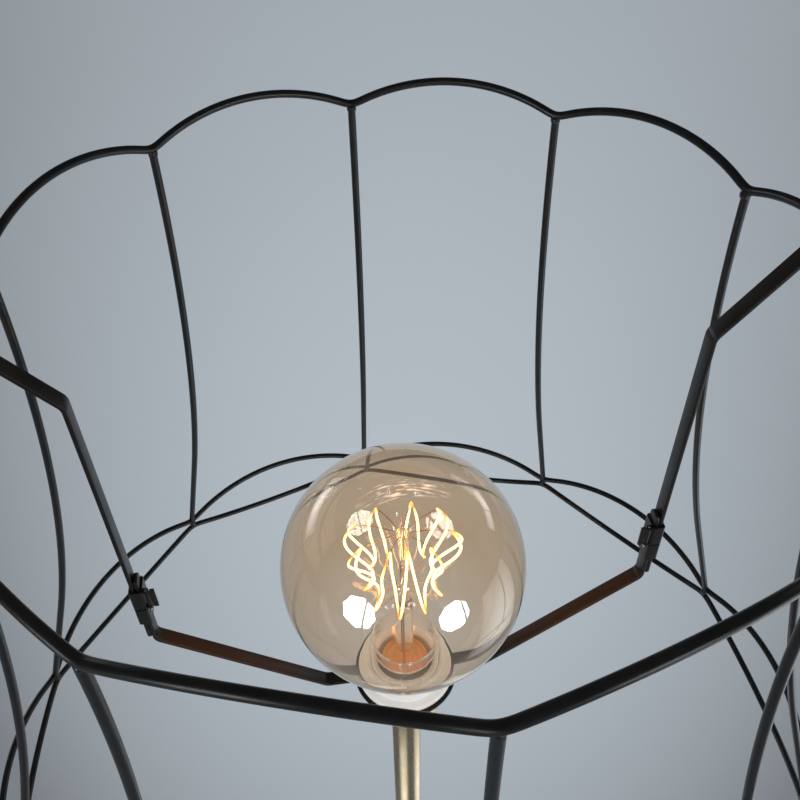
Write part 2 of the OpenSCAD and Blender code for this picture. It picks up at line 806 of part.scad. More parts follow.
// Half outline of the glass envelope, drawn inwards by inset
module globe_outline(inset) {
    r = globe_r - inset;
    neck = neck_r - inset;
    blend = neck_blend_r + inset;
    foot = neck_foot_r - inset;
    centre_x = neck_r + neck_blend_r;
    reach = globe_r + neck_blend_r;
    touch = [centre_x * r / reach, globe_z + (neck_blend_z - globe_z) * r / reach];
    intersection() {
        translate([0, globe_z]) circle(r = r, $fn = 128);
        translate([0, neck_blend_z]) square([globe_d, globe_d + 40]);
    }
    difference() {
        polygon([[0, neck_blend_z], [centre_x, neck_blend_z], touch, [0, touch[1]]]);
        translate([centre_x, neck_blend_z]) circle(r = blend, $fn = 96);
    }
    polygon([
        [0, glass_foot_z], [foot, glass_foot_z], [foot, neck_foot_z], [neck, neck_taper_z],
        [neck, neck_blend_z + tiny], [0, neck_blend_z + tiny]
    ]);
}

module bulb_globe() {
    color("goldenrod", 0.4) rotate_extrude($fn = 128) difference() {
        globe_outline(0);
        globe_outline(glass_t);
        translate([-tiny, glass_foot_z - tiny]) square([neck_foot_r - glass_t + tiny, glass_t + 2 * tiny]);
    }
}

module bulb_cap() {
    wall = 0.5;
    r_in = neck_foot_r + seat_gap;
    skirt = 6;
    color("silver") rotate_extrude($fn = 96) difference() {
        union() {
            translate([r_in, cap_top_z - skirt]) square([cap_r - r_in, skirt]);
            translate([r_in, cap_foot_z]) square([cap_r - thread_deep - r_in + 0.6, cap_l - 1]);
            thread_arcs(cap_r - thread_deep, cap_foot_z + 0.4, cap_l - skirt - 0.4, thread_deep);
        }
        translate([0, cap_foot_z - 5]) square([r_in, cap_l + 10]);
    }
}

module cap_insulator() {
    r_top = neck_foot_r + seat_gap - seat_gap / 2;
    color("black") translate([0, 0, contact_z + 1.5]) difference() {
        union() {
            translate([0, 0, cap_foot_z - contact_z - 1.5]) cylinder(r = r_top, h = 2);
            cylinder(r1 = 6, r2 = r_top, h = cap_foot_z - contact_z - 1.5);
        }
        translate([0, 0, -1]) cylinder(r = 1.5, h = 12);
    }
}

module cap_contact() {
    color("silver") translate([0, 0, contact_z]) {
        cylinder(r = 4.5, h = 1.5);
        cylinder(r = 1.4, h = 5);
    }
}

// Glass stem: a flare sealed into the neck, a tube, a pressed head and a rod with two buttons
module bulb_stem() {
    flare_z = glass_foot_z + 1.5;
    flare_h = 14;
    tube_top = press_z - 4;
    color("lightgray", 0.5) {
        rotate_extrude() difference() {
            union() {
                translate([0, glass_foot_z]) square([stem_foot_r, 1.5]);
                polygon([[0, flare_z], [stem_foot_r, flare_z], [stem_tube_r, flare_z + flare_h], [0, flare_z + flare_h]]);
                translate([0, flare_z]) square([stem_tube_r, tube_top - flare_z]);
                translate([0, tube_top]) circle(r = stem_tube_r);
                translate([0, tube_top]) square([stem_rod_r, button_z - tube_top]);
                translate([0, hub_z]) circle(r = button_r);
                translate([0, button_z]) circle(r = button_r);
            }
            translate([-20, glass_foot_z - 20]) square([20, globe_d * 2]);
            translate([0, glass_foot_z - 1]) square([stem_tube_r - stem_wall, tube_top - glass_foot_z + 1]);
        }
    }
}

module rod_between(p, q, r) {
    d = q - p;
    l = norm(d);
    translate(p) rotate([0, acos(d[2] / l), atan2(d[1], d[0])]) cylinder(r = r, h = l, $fn = 16);
}

// The filament winds down and up round a cage, from one end to the other: u counts its strands.
// A hairpin_round near 1 gives straight strands with tight hairpins.
hairpin_round = 0.985;
strands = 2 * hairpins;
strand_step = 360 / (strands + 1);
first_angle = 90 + filament_turn + strand_step / 2;
function strand_share(u) = 0.5 - asin(hairpin_round * cos(180 * u)) / asin(hairpin_round) / 2;
// The strands sway at the left and the right, and lean inwards in front and behind
function cage_lean(a) = (lean_behind + lean_front + (lean_behind - lean_front) * sin(a)) / 2 * pow(sin(a), 2);
function cage_r(share, a) = cage_foot_r + (cage_top_r - cage_foot_r - cage_lean(a)) * share
    - strand_sway * pow(cos(a), 2) * sin(360 * share);
function cage_spot(r, a, z) = [r * cos(a), r * sin(a), z];
function cage_point(u, inside = 0) = let (share = strand_share(u), a = first_angle + u * strand_step)
    cage_spot(cage_r(share, a) - inside, a, globe_z - cage_foot + (cage_top + cage_foot) * share);

// Closed tube swept along points: each ring stands square to the route, with the axis as its reference
function unit(v) = v / norm(v);
function route_ring(points, i, r, sides) = let (
    last = len(points) - 1,
    along = unit(points[min(i + 1, last)] - points[max(i - 1, 0)]),
    outward = unit([points[i][0], points[i][1], 0]),
    side = unit(cross(along, outward)),
    up = cross(side, along)
) [for (s = [0 : sides - 1]) points[i] + r * (cos(360 * s / sides) * up + sin(360 * s / sides) * side)];

module swept_tube(points, r, sides) {
    n = len(points);
    rings = [for (i = [0 : n - 1]) each route_ring(points, i, r, sides)];
    walls = [for (i = [0 : n - 2], s = [0 : sides - 1]) let (
        a = i * sides + s, b = i * sides + (s + 1) % sides, c = b + sides, d = a + sides
    ) each [[a, b, c], [a, c, d]]];
    last = (n - 1) * sides;
    foot = [for (s = [1 : sides - 2]) [0, s + 1, s]];
    head = [for (s = [1 : sides - 2]) [last, last + s, last + s + 1]];
    polyhedron(points = rings, faces = [for (f = concat(walls, foot, head)) [f[0], f[2], f[1]]], convexity = 10);
}

strand_points = 10;
module filament() {
    route = [for (i = [0 : strands * strand_points]) cage_point(i / strand_points)];
    color("orange") swept_tube(route, filament_d / 2, 6);
}

support_gap = filament_d / 2 + wire_support_r + seat_gap;

// Fine wire from a glass button of the stem at height z to a hairpin of the filament
module support(z, u) {
    centre = [0, 0, z];
    hook = cage_point(u, support_gap);
    rod_between(centre + (button_r + seat_gap) * unit(hook - centre), hook, wire_support_r);
}

module upper_supports() {
    color("orange") for (k = [0 : hairpins - 1]) support(button_z, 2 * k + 1);
}

module lower_supports() {
    color("orange") for (k = [1 : hairpins - 1]) support(hub_z, 2 * k);
}

// Two leads: from the cap up the stem's tube, and from the pressed head out to the filament's ends
module stem_leads() {
    lead_r = 0.4;
    at = stem_tube_r - stem_wall - 1.2;
    tube_top = press_z - 4;
    low_z = cap_foot_z + 2.5;
    color("silver") difference() {
        for (u = [0, strands]) {
            a = first_angle + u * strand_step;
            rod_between(cage_spot(at, a, low_z), cage_spot(at, a, tube_top - 1), lead_r);
            rod_between(cage_spot(stem_tube_r - 1, a, press_z - 2), cage_point(u) - [0, 0, support_gap + lead_r],
                lead_r);
        }
        translate([0, 0, tube_top]) sphere(r = stem_tube_r);
    }
}

floor_pad();
ballast_weight();
base_cover();
base_washer();
base_nut();
cord_bush();
terminal_block();
foot_rod();
foot_plug();
foot_collar();
lower_post_tube();
post_joiner();
post_joint_ring();
upper_post_tube();
head_plug();
head_rod();
inner_lead();
holder_cup();
cup_nut();
holder_core();
terminal_screws();
centre_contact();
screw_shell();
holder_sleeve();
retaining_ring();
carrier_ring();
rotate([0, 0, 180]) carrier_arm();  // left_carrier_arm
carrier_arm();  // right_carrier_arm
rotate([0, 0, 180]) clip(1);  // left_clip
clip(-1);  // right_clip
rotate([0, 0, 180]) clip_rivet();  // left_clip_rivet
clip_rivet();  // right_clip_rivet
rotate([0, 0, 180]) lever_pin(1);  // left_lever_pin
lever_pin(-1);  // right_lever_pin
rotate([0, 0, 180]) lever(1);  // left_lever
lever(-1);  // right_lever
top_ring();
upper_bottom_ring();
lower_bottom_ring();
rotate([0, 0, 180]) hanger();  // left_hanger
hanger();  // right_hanger
rib(1);  // rib_01
rib(2);  // rib_02
rib(3);  // rib_03
rib(4);  // rib_04
rib(5);  // rib_05
rib(6);  // rib_06
rib(7);  // rib_07
rib(8);  // rib_08
rib(9);  // rib_09
rib(10);  // rib_10
bulb_globe();
bulb_cap();
cap_insulator();
cap_contact();
bulb_stem();
stem_leads();
upper_supports();
lower_supports();
filament();
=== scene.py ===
"""Looks of a retro floor lamp: a scalloped wire shade frame round a bare globe bulb on a brass post.

Sizes in the classes are in millimetres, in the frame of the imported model, and meshes are made in metres.
"""

import logging
import math
from collections.abc import Callable, Sequence
from dataclasses import dataclass, field, replace
from enum import Enum

import bmesh
import bpy
from mathutils import Matrix, Vector


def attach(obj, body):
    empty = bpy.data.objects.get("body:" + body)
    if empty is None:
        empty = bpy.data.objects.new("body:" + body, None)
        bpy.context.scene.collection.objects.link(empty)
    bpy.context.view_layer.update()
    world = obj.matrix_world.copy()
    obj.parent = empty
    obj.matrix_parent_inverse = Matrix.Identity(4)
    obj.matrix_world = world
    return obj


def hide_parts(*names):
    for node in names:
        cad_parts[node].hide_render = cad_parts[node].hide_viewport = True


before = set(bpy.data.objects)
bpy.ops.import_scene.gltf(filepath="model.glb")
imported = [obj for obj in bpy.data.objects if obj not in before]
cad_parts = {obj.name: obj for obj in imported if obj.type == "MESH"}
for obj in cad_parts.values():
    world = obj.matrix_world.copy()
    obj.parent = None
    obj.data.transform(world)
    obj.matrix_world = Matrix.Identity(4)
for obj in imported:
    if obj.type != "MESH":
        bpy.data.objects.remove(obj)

MM = 0.001
MERGE_WITHIN = 2e-6
FLAT_WITHIN = 1.5
BEVEL_ABOVE = 40.0
SAME_POINT = 1e-5
ON_AXIS = 1e-6
LOG = logging.getLogger("floor_lamp")

Colour = tuple[float, float, float, float]
Point = tuple[float, float]
Span = tuple[float, float]
Corner = tuple[float, ...]


class Body(Enum):
    """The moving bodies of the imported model."""

    STAND = "stand"
    LOCKING_RING = "locking_ring"
    CARRIER = "carrier"
    LEFT_LEVER = "left_clip_lever"
    RIGHT_LEVER = "right_clip_lever"
    SHADE = "shade"
    BULB = "bulb"


class Slot(Enum):
    """The record's material slots."""

    FELT = "felt"
    IRON = "iron"
    SATIN_BRASS = "satin_brass"
    RAW_BRASS = "raw_brass"
    STEEL = "steel"
    BLACK_BUSH = "black_bush"
    WHITE_PLASTIC = "white_plastic"
    LEAD_JACKET = "lead_jacket"
    BLACK_WIRE = "black_wire"
    BLACK_STRIP = "black_strip"
    DARK_RIVET = "dark_rivet"
    TINTED_GLASS = "tinted_glass"
    CLEAR_GLASS = "clear_glass"
    CAP_BRASS = "cap_brass"
    CAP_BLACK = "cap_black"
    SUPPORT_WIRE = "support_wire"
    FILAMENT_GLOW = "filament_glow"


class Side(Enum):
    """The two sides of the carrier, as the sign of X."""

    LEFT = -1
    RIGHT = 1

    @property
    def word(self) -> str:
        """The side's name in lower case, as the nodes have it."""
        return self.name.lower()


class Grain(Enum):
    """The way a metal's fine marks run."""

    DRAWN = "along the axis"
    TURNED = "round the axis"


def colour(red: float, green: float, blue: float) -> Colour:
    """A linear colour with full opacity."""
    return (red, green, blue, 1.0)


# Node trees


class Field:
    """A value in a node tree. Arithmetic on it adds the nodes that work it out."""

    def __init__(self, tree: "Tree", socket: bpy.types.NodeSocket) -> None:
        """Keeps the tree and the socket that gives the value."""
        self.tree = tree
        self.socket = socket

    def op(self, operation: str, *others: object, first: object = None) -> "Field":
        """Adds one Math node.

        Args:
            operation: The Math node's operation.
            others: The values after the first.
            first: The first value, where it isn't this field.

        Returns:
            The node's result.
        """
        values = [self if first is None else first, *others]
        node = self.tree.add("ShaderNodeMath", dict(enumerate(values)), operation=operation)
        return Field(self.tree, node.outputs[0])


def arithmetic(operation: str, swapped: bool = False) -> Callable[[Field, object], Field]:
    """Makes a method of Field that adds one Math node.

    Args:
        operation: The Math node's operation.
        swapped: Whether the other value comes first.

    Returns:
        The method.
    """

    def method(self: Field, other: object) -> Field:
        """Works out the result of this field and another value."""
        return self.op(operation, self, first=other) if swapped else self.op(operation, other)

    return method


Field.__add__ = Field.__radd__ = arithmetic("ADD")
Field.__sub__, Field.__rsub__ = arithmetic("SUBTRACT"), arithmetic("SUBTRACT", True)
Field.__mul__ = Field.__rmul__ = arithmetic("MULTIPLY")
Field.__truediv__, Field.__rtruediv__ = arithmetic("DIVIDE"), arithmetic("DIVIDE", True)
Field.__pow__ = arithmetic("POWER")


class Tree:
    """A node tree that is written from left to right, one node at a time."""

    columns = 14
    spacing = (190.0, -250.0)

    def __init__(self, tree: bpy.types.NodeTree) -> None:
        """Starts on an empty tree."""
        self.tree = tree
        self.count = 0

    def add(self, kind: str, inputs: dict | None = None, **settings: object) -> bpy.types.Node:
        """Adds a node.

        Args:
            kind: The node's type.
            inputs: Values or links of its inputs, by name or number.
            settings: The node's own properties.

        Returns:
            The node.
        """
        node = self.tree.nodes.new(kind)
        row, column = divmod(self.count, self.columns)
        node.location = (self.spacing[0] * column, self.spacing[1] * row)
        self.count += 1
        for name, value in settings.items():
            setattr(node, name, value)
        for key, value in (inputs or {}).items():
            self.feed(self.pick(node.inputs, key), value)
        return node

    @staticmethod
    def pick(sockets: Sequence[bpy.types.NodeSocket], key: str | int) -> bpy.types.NodeSocket:
        """Finds a socket by its number, or by its name among those in use."""
        if isinstance(key, int):
            return sockets[key]
        return next(s for s in sockets if s.name == key and s.enabled)

    def feed(self, socket: bpy.types.NodeSocket, value: object) -> None:
        """Links a field or a socket into a socket, or sets a plain value."""
        if isinstance(value, Field):
            value = value.socket
        if isinstance(value, bpy.types.NodeSocket):
            self.tree.links.new(value, socket)
        else:
            socket.default_value = value

    def get(self, kind: str, inputs: dict | None = None, out: str | int = 0, **settings: object) -> Field:
        """Adds a node and gives one of its outputs as a field."""
        return Field(self, self.pick(self.add(kind, inputs, **settings).outputs, out))

    def vector(self, x: object, y: object, z: object) -> Field:
        """Joins three values to a vector."""
        return self.get("ShaderNodeCombineXYZ", {0: x, 1: y, 2: z})

    def rays(self, *kinds: str) -> list[Field]:
        """One for rays of each kind, and nought for others."""
        path = self.add("ShaderNodeLightPath")
        return [Field(self, path.outputs[f"Is {kind} Ray"]) for kind in kinds]

    def split(self, vector: Field) -> tuple[Field, Field, Field]:
        """Parts a vector into its three values."""
        node = self.add("ShaderNodeSeparateXYZ", {0: vector})
        return tuple(Field(self, s) for s in node.outputs)


class FormTree(Tree):
    """A Geometry Nodes tree with named inputs, which ends in plain faces with a material."""

    def __init__(self, name: str) -> None:
        """Makes the group with its material input and its output."""
        group = bpy.data.node_groups.new(name, "GeometryNodeTree")
        super().__init__(group)
        group.interface.new_socket("Form", in_out="OUTPUT", socket_type="NodeSocketGeometry")
        group.interface.new_socket("Finish", in_out="INPUT", socket_type="NodeSocketMaterial")
        self.inlet = self.add("NodeGroupInput")

    def sizes(self, values: dict[str, float | int]) -> dict[str, Field]:
        """Adds a named input for each value, of its kind."""
        kinds = {int: "NodeSocketInt", float: "NodeSocketFloat"}
        for name, value in values.items():
            self.tree.interface.new_socket(name, in_out="INPUT", socket_type=kinds[type(value)])
        return {name: Field(self, self.pick(self.inlet.outputs, name)) for name in values}

    def sweep(self, route: Field, radius: Field, sides: int) -> Field:
        """Puts a round section on a route, with its ends closed."""
        section = self.get("GeometryNodeCurvePrimitiveCircle", {"Resolution": sides, "Radius": radius})
        return self.get("GeometryNodeCurveToMesh",
                        {"Curve": route, "Profile Curve": section, "Fill Caps": True})

    def placed(self, route: Field, position: Field) -> Field:
        """Moves a geometry's points to worked-out places."""
        return self.get("GeometryNodeSetPosition", {"Geometry": route, "Position": position})

    def route(self, count: int) -> Field:
        """A straight route of so many points, to be bent by placed."""
        line = self.get("GeometryNodeCurvePrimitiveLine", {"End": (0.0, 0.0, 1.0)})
        return self.get("GeometryNodeResampleCurve", {"Curve": line, "Count": count}, mode="COUNT")

    def spots(self, count: Field) -> Field:
        """So many points in one place, for copies."""
        return self.get("GeometryNodeMeshLine", {"Count": count, "Offset": (0.0, 0.0, 0.0)})

    def copies(self, spots: Field, form: Field, **inputs: Field) -> Field:
        """Sets a copy of a form on each point."""
        return self.get("GeometryNodeInstanceOnPoints", {"Points": spots, "Instance": form} | inputs)

    def kept(self, form: Field, name: str, value: Field) -> Field:
        """Keeps a value on each point, under a name."""
        return self.get("GeometryNodeStoreNamedAttribute", {"Geometry": form, "Name": name, "Value": value},
                        data_type="FLOAT")

    def turns(self, count: Field) -> Field:
        """The angle of each of so many points round the axis, half a step on."""
        return (self.get("GeometryNodeInputIndex") + 0.5) * (2 * math.pi) / count

    def close(self, form: Field) -> None:
        """Realizes the form, smooths it, gives it the material and ends the tree."""
        real = self.get("GeometryNodeRealizeInstances", {0: form})
        smooth = self.get("GeometryNodeSetShadeSmooth", {0: real, "Shade Smooth": True})
        finish = self.pick(self.inlet.outputs, "Finish")
        dressed = self.get("GeometryNodeSetMaterial", {"Geometry": smooth, "Material": finish})
        self.add("NodeGroupOutput", {0: dressed})

    def grow(self, name: str, finish: "Finish", sizes: dict[str, float | int]) -> bpy.types.Object:
        """Runs the tree on an empty mesh and keeps the result as a plain mesh.

        Args:
            name: The new piece's name.
            finish: Its finish.
            sizes: The tree's inputs by name.

        Returns:
            The piece, with no modifier left.
        """
        piece = bpy.data.objects.new(name, bpy.data.meshes.new(name + "_seed"))
        bpy.context.scene.collection.objects.link(piece)
        modifier = piece.modifiers.new("Form", "NODES")
        modifier.node_group = self.tree
        for item in self.tree.interface.items_tree:
            if item.in_out == "INPUT":
                modifier[item.identifier] = finish.material() if item.name == "Finish" else sizes[item.name]
        depsgraph = bpy.context.evaluated_depsgraph_get()
        mesh = bpy.data.meshes.new_from_object(
            piece.evaluated_get(depsgraph), preserve_all_data_layers=True, depsgraph=depsgraph
        )
        piece.modifiers.remove(modifier)
        seed, piece.data = piece.data, mesh
        bpy.data.meshes.remove(seed)
        mesh.name = name
        return piece


class Shader(Tree):
    """A surface tree round one Principled shader."""

    def __init__(self, material: bpy.types.Material) -> None:
        """Empties the material's tree and adds the shader."""
        material.use_nodes = True
        material.node_tree.nodes.clear()
        super().__init__(material.node_tree)
        self.place = self.get("ShaderNodeTexCoord", out="Object")
        self.bsdf = self.add("ShaderNodeBsdfPrincipled")
        self.add("ShaderNodeOutputMaterial", {"Surface": self.bsdf.outputs[0]})

    def set(self, **values: object) -> None:
        """Sets the shader's inputs, with underscores for the spaces in their names."""
        for name, value in values.items():
            self.feed(self.bsdf.inputs[name.replace("_", " ")], value)

    def noise(self, size: float, detail: float = 2.0, along: Field | None = None) -> Field:
        """Noise whose features are about as large as size, in millimetres."""
        where = self.place if along is None else along
        scale = 1.0 / (size * MM)
        return self.get("ShaderNodeTexNoise", {"Vector": where, "Scale": scale, "Detail": detail})

    def stretched(self, x: float, y: float, z: float) -> Field:
        """The object's coordinates, scaled on each axis."""
        node = self.add("ShaderNodeMapping", {"Vector": self.place, "Scale": (x, y, z)})
        return Field(self, node.outputs[0])

    def spread(self, value: Field, low: float, high: float, span: Span = (0.3, 0.7)) -> Field:
        """Maps a value from a span to another range."""
        return self.get(
            "ShaderNodeMapRange",
            {"Value": value, "From Min": span[0], "From Max": span[1], "To Min": low, "To Max": high},
        )

    def band(self, low: float, high: float, span: Span) -> Field:
        """A value that goes from low to high over a span of heights in millimetres."""
        return self.spread(self.split(self.place)[2], low, high, (span[0] * MM, span[1] * MM))

    def blend(self, share: object, first: object, second: object) -> Field:
        """Mixes two colours."""
        node = self.add("ShaderNodeMix", data_type="RGBA")
        self.feed(self.pick(node.inputs, "Factor"), share)
        self.feed(self.pick(node.inputs, "A"), first)
        self.feed(self.pick(node.inputs, "B"), second)
        return Field(self, self.pick(node.outputs, "Result"))

    def relief(self, height: Field, depth: float) -> None:
        """Gives the shader bumps as deep as depth, in millimetres."""
        bump = self.add("ShaderNodeBump", {"Height": height, "Distance": depth * MM, "Strength": 1.0})
        self.set(Normal=bump.outputs[0])


# Finishes


@dataclass(frozen=True)
class Finish:
    """A named procedural material, made once, and the record's slot that it fills."""

    name: str
    slot: Slot

    def material(self) -> bpy.types.Material:
        """The material, which is made at its first use."""
        found = bpy.data.materials.get(self.name)
        if found is None:
            found = bpy.data.materials.new(self.name)
            self.paint(Shader(found))
        return found

    def paint(self, shader: Shader) -> None:
        """Builds the surface; each finish has its own."""
        raise NotImplementedError


@dataclass(frozen=True)
class PowderCoat(Finish):
    """Black satin powder coat: a fine pebbled skin with a slight mottle."""

    base: Colour = colour(0.0026, 0.0026, 0.0030)
    worn: Colour = colour(0.0052, 0.0050, 0.0048)
    roughness: float = 0.34
    grain: float = 0.45
    mottle: Span = (14.0, 3.0)
    depth: float = 0.012
    index: float = 1.5

    def paint(self, shader: Shader) -> None:
        """Builds the coat from its grain and mottle."""
        grain = shader.noise(self.grain, 3.0)
        mottle = shader.noise(*self.mottle)
        shader.set(
            Base_Color=self.pigment(shader, mottle),
            Roughness=shader.spread(grain + mottle, self.roughness - 0.05, self.roughness + 0.07, (0.7, 1.3)),
            IOR=self.index,
        )
        shader.relief(grain, self.depth)

    def pigment(self, shader: Shader, mottle: Field) -> Field:
        """Mixes the coat's two blacks by its mottle."""
        return shader.blend(shader.spread(mottle, 0.0, 1.0), self.base, self.worn)


@dataclass(frozen=True)
class GlowPaintedPowderCoat(PowderCoat):
    """Powder coat with the filament's light painted on the slopes of the arms, as brown in its black."""

    # Painted light: the brown stands for the filament's glow on the arms.
    painted_warm_glow: Colour = colour(0.030, 0.0088, 0.0014)
    rise: Span = (1236.0, 1252.0)
    fall: Span = (1297.0, 1305.0)

    def pigment(self, shader: Shader, mottle: Field) -> Field:
        """Paints the brown glow between the foot and the head of the slopes."""
        slopes = shader.band(0.0, 1.0, self.rise) * shader.band(1.0, 0.0, self.fall)
        return shader.blend(slopes, super().pigment(shader, mottle), self.painted_warm_glow)


@dataclass(frozen=True)
class SatinBrass(Finish):
    """Brass with a satin finish, whose marks are drawn along the axis or turned round it."""

    base: Colour = colour(0.50, 0.415, 0.265)
    dull: Colour = colour(0.36, 0.30, 0.19)
    roughness: float = 0.26
    grain: Grain = Grain.DRAWN
    line: float = 0.25
    patina: Span = (28.0, 5.0)
    depth: float = 0.004

    def paint(self, shader: Shader) -> None:
        """Builds the metal from its fine lines and a soft patina."""
        if self.grain is Grain.DRAWN:
            course = shader.stretched(1.0, 1.0, 0.015)
        else:
            x, y, z = shader.split(shader.place)
            course = shader.vector((x * x + y * y).op("SQRT"), 0.0, z)
        lines = shader.noise(self.line, 4.0, course)
        patina = shader.noise(*self.patina)
        tone = shader.spread(patina * 0.6 + lines * 0.4, 0.0, 0.7)
        shader.set(
            Base_Color=shader.blend(tone, self.base, self.dull),
            Metallic=1.0,
            Roughness=shader.spread(lines + patina, self.roughness - 0.05, self.roughness + 0.09, (0.7, 1.3)),
        )
        shader.relief(lines, self.depth)


@dataclass(frozen=True)
class PlatedSteel(Finish):
    """Zinc-plated steel with faint spangle."""

    base: Colour = colour(0.55, 0.56, 0.57)
    shade: Colour = colour(0.40, 0.41, 0.43)
    roughness: float = 0.3
    spangle: float = 900.0
    scratch: Span = (0.6, 4.0)

    def paint(self, shader: Shader) -> None:
        """Builds the plating from its spangle."""
        spangle = shader.get("ShaderNodeTexVoronoi", {"Vector": shader.place, "Scale": self.spangle})
        scratch = shader.noise(*self.scratch)
        shader.set(
            Base_Color=shader.blend(shader.spread(spangle, 0.0, 0.8, (0.0, 0.8)), self.base, self.shade),
            Metallic=1.0,
            Roughness=shader.spread(scratch, self.roughness - 0.05, self.roughness + 0.1),
        )
        shader.relief(scratch, 0.003)


@dataclass(frozen=True)
class Felt(Finish):
    """Dark felt with matted fibres."""

    base: Colour = colour(0.020, 0.021, 0.022)
    fibre: Colour = colour(0.060, 0.060, 0.062)
    mat: Span = (0.35, 5.0)
    stretch: float = 0.35

    def paint(self, shader: Shader) -> None:
        """Builds the matted fibres."""
        mat = shader.noise(*self.mat, shader.stretched(1.0, self.stretch, 1.0))
        cross = shader.noise(*self.mat, shader.stretched(self.stretch, 1.0, 1.0))
        shader.set(
            Base_Color=shader.blend(shader.spread(mat + cross, 0.0, 1.0, (0.8, 1.25)), self.base, self.fibre),
            Roughness=0.95,
            Sheen_Weight=0.4,
            Sheen_Roughness=0.5,
        )
        shader.relief(mat + cross, 0.15)


@dataclass(frozen=True)
class Skin(Finish):
    """Two tones in soft clouds under a fine skin, as on moulded plastic, cast iron and rolled brass.

    Clouds and skin each have a size in millimetres and a detail. Relief is the share of each in the bumps.
    """

    base: Colour
    tone: Colour
    roughness: Span
    clouds: Span = (9.0, 3.0)
    skin: Span = (0.8, 3.0)
    tones: Span = (0.3, 0.7)
    relief: Span = (0.0, 1.0)
    depth: float = 0.006
    metallic: float = 0.0
    through: float = 0.0
    lit: Colour = colour(0.50, 0.17, 0.02)
    power: float = 0.0

    def paint(self, shader: Shader) -> None:
        """Builds the surface, lets a little light through it and paints the filament's light on it as a glow.
        """
        cloud, skin = shader.noise(*self.clouds), shader.noise(*self.skin)
        shader.set(
            Base_Color=shader.blend(shader.spread(cloud, 0.0, 1.0, self.tones), self.base, self.tone),
            Metallic=self.metallic,
            Roughness=shader.spread(skin, *self.roughness),
            Subsurface_Weight=self.through,
            Subsurface_Radius=(0.004, 0.003, 0.002),
        )
        # Painted light: a glow that stands for the filament's light on the surface.
        if self.power:
            shader.set(Emission_Color=self.lit,
                       Emission_Strength=shader.spread(cloud, self.power * 0.5, self.power * 1.4))
        shader.relief(cloud * self.relief[0] + skin * self.relief[1], self.depth)


@dataclass(frozen=True)
class BlownGlass(Finish):
    """Blown glass: clear or tinted, slightly wavy, paler at its neck, with the filament's light painted on it
    as glow and glints.
    """

    tint: Colour = colour(1.0, 1.0, 1.0)
    edge: Colour = colour(1.0, 1.0, 1.0)
    wave: float = 26.0
    depth: float = 0.02
    index: float = 1.48
    rim: float = 0.35
    veil: Colour = colour(1.0, 0.92, 0.84)
    veil_power: float = 0.0
    neck: Colour = colour(1.0, 1.0, 1.0)
    neck_span: Span = (1274.0, 1302.0)
    foot: Colour = colour(1.0, 0.50, 0.16)
    foot_power: float = 0.22
    foot_span: Span = (1250.0, 1266.0)
    glint: Colour = colour(1.0, 0.45, 0.12)
    glint_power: float = 0.0
    glint_span: Span = (0.54, 0.66)
    glint_bow: float = 7.5
    glint_centre: float = -0.0025
    glint_reach: Point = (0.023, 0.0065)
    glint_above: float = 1.36

    def paint(self, shader: Shader) -> None:
        """Builds the glass from its tint and its waves, and paints the filament's light on it: a glowing
        veil, a warm glowing foot and glinting streaks.
        """
        wave = shader.noise(self.wave, 1.0)
        rim = shader.get("ShaderNodeLayerWeight", {"Blend": self.rim}, out="Facing")
        neck, low = shader.band(1.0, 0.0, self.neck_span), shader.band(1.0, 0.0, self.foot_span)
        # Painted light: emission that stands for the filament's light in the glass and at its foot.
        glow = shader.blend(low, self.veil, self.foot)
        power = shader.spread(wave, 0.9, 1.1) * (low * (self.foot_power - self.veil_power) + self.veil_power)
        if self.glint_power:
            painted_glints = self.painted_filament_glints(shader)
            glow = shader.blend(painted_glints.op("MINIMUM", 1.0), glow, self.glint)
            power = power + painted_glints * self.glint_power
        shader.set(
            Base_Color=shader.blend(neck, shader.blend(rim, self.tint, self.edge), self.neck),
            Transmission_Weight=1.0,
            Roughness=0.0,
            IOR=self.index,
            Emission_Color=glow,
            Emission_Strength=power,
        )
        shader.relief(wave, self.depth)

    def painted_filament_glints(self, shader: Shader) -> Field:
        """Painted reflection: fine curved streaks round the pole of the globe, where the glass would mirror
        the filament.
        """
        x, y, z = shader.split(shader.place)
        rows = y + x * x * self.glint_bow
        grain = shader.noise(0.9, 3.0, shader.vector(x * 0.10, rows, 0.0))
        across, along = x / self.glint_reach[0], (rows - self.glint_centre) / self.glint_reach[1]
        near = (1 - (across * across + along * along)).op("MAXIMUM", 0.0)
        return shader.spread(grain, 0.0, 1.0, self.glint_span) * near * z.op("GREATER_THAN", self.glint_above)


@dataclass(frozen=True)
class GlowingCoil(Finish):
    """Carbon-style filament at work: bright along each strand and orange at its turns."""

    core: Colour = colour(1.0, 0.64, 0.24)
    turn: Colour = colour(1.0, 0.30, 0.04)
    core_power: float = 9.0
    turn_power: float = 2.0

    def paint(self, shader: Shader) -> None:
        """Builds the glow from the heat kept on the strand's points."""
        heat = shader.get("ShaderNodeAttribute", out="Fac", attribute_name="warmth")
        coil = shader.noise(0.5, 1.0)
        power = shader.spread(heat, self.turn_power, self.core_power, (0.0, 1.0))
        shader.set(
            Base_Color=colour(0.05, 0.03, 0.02),
            Roughness=0.7,
            Emission_Color=shader.blend(heat, self.turn, self.core),
            Emission_Strength=power * shader.spread(coil, 0.9, 1.1),
        )


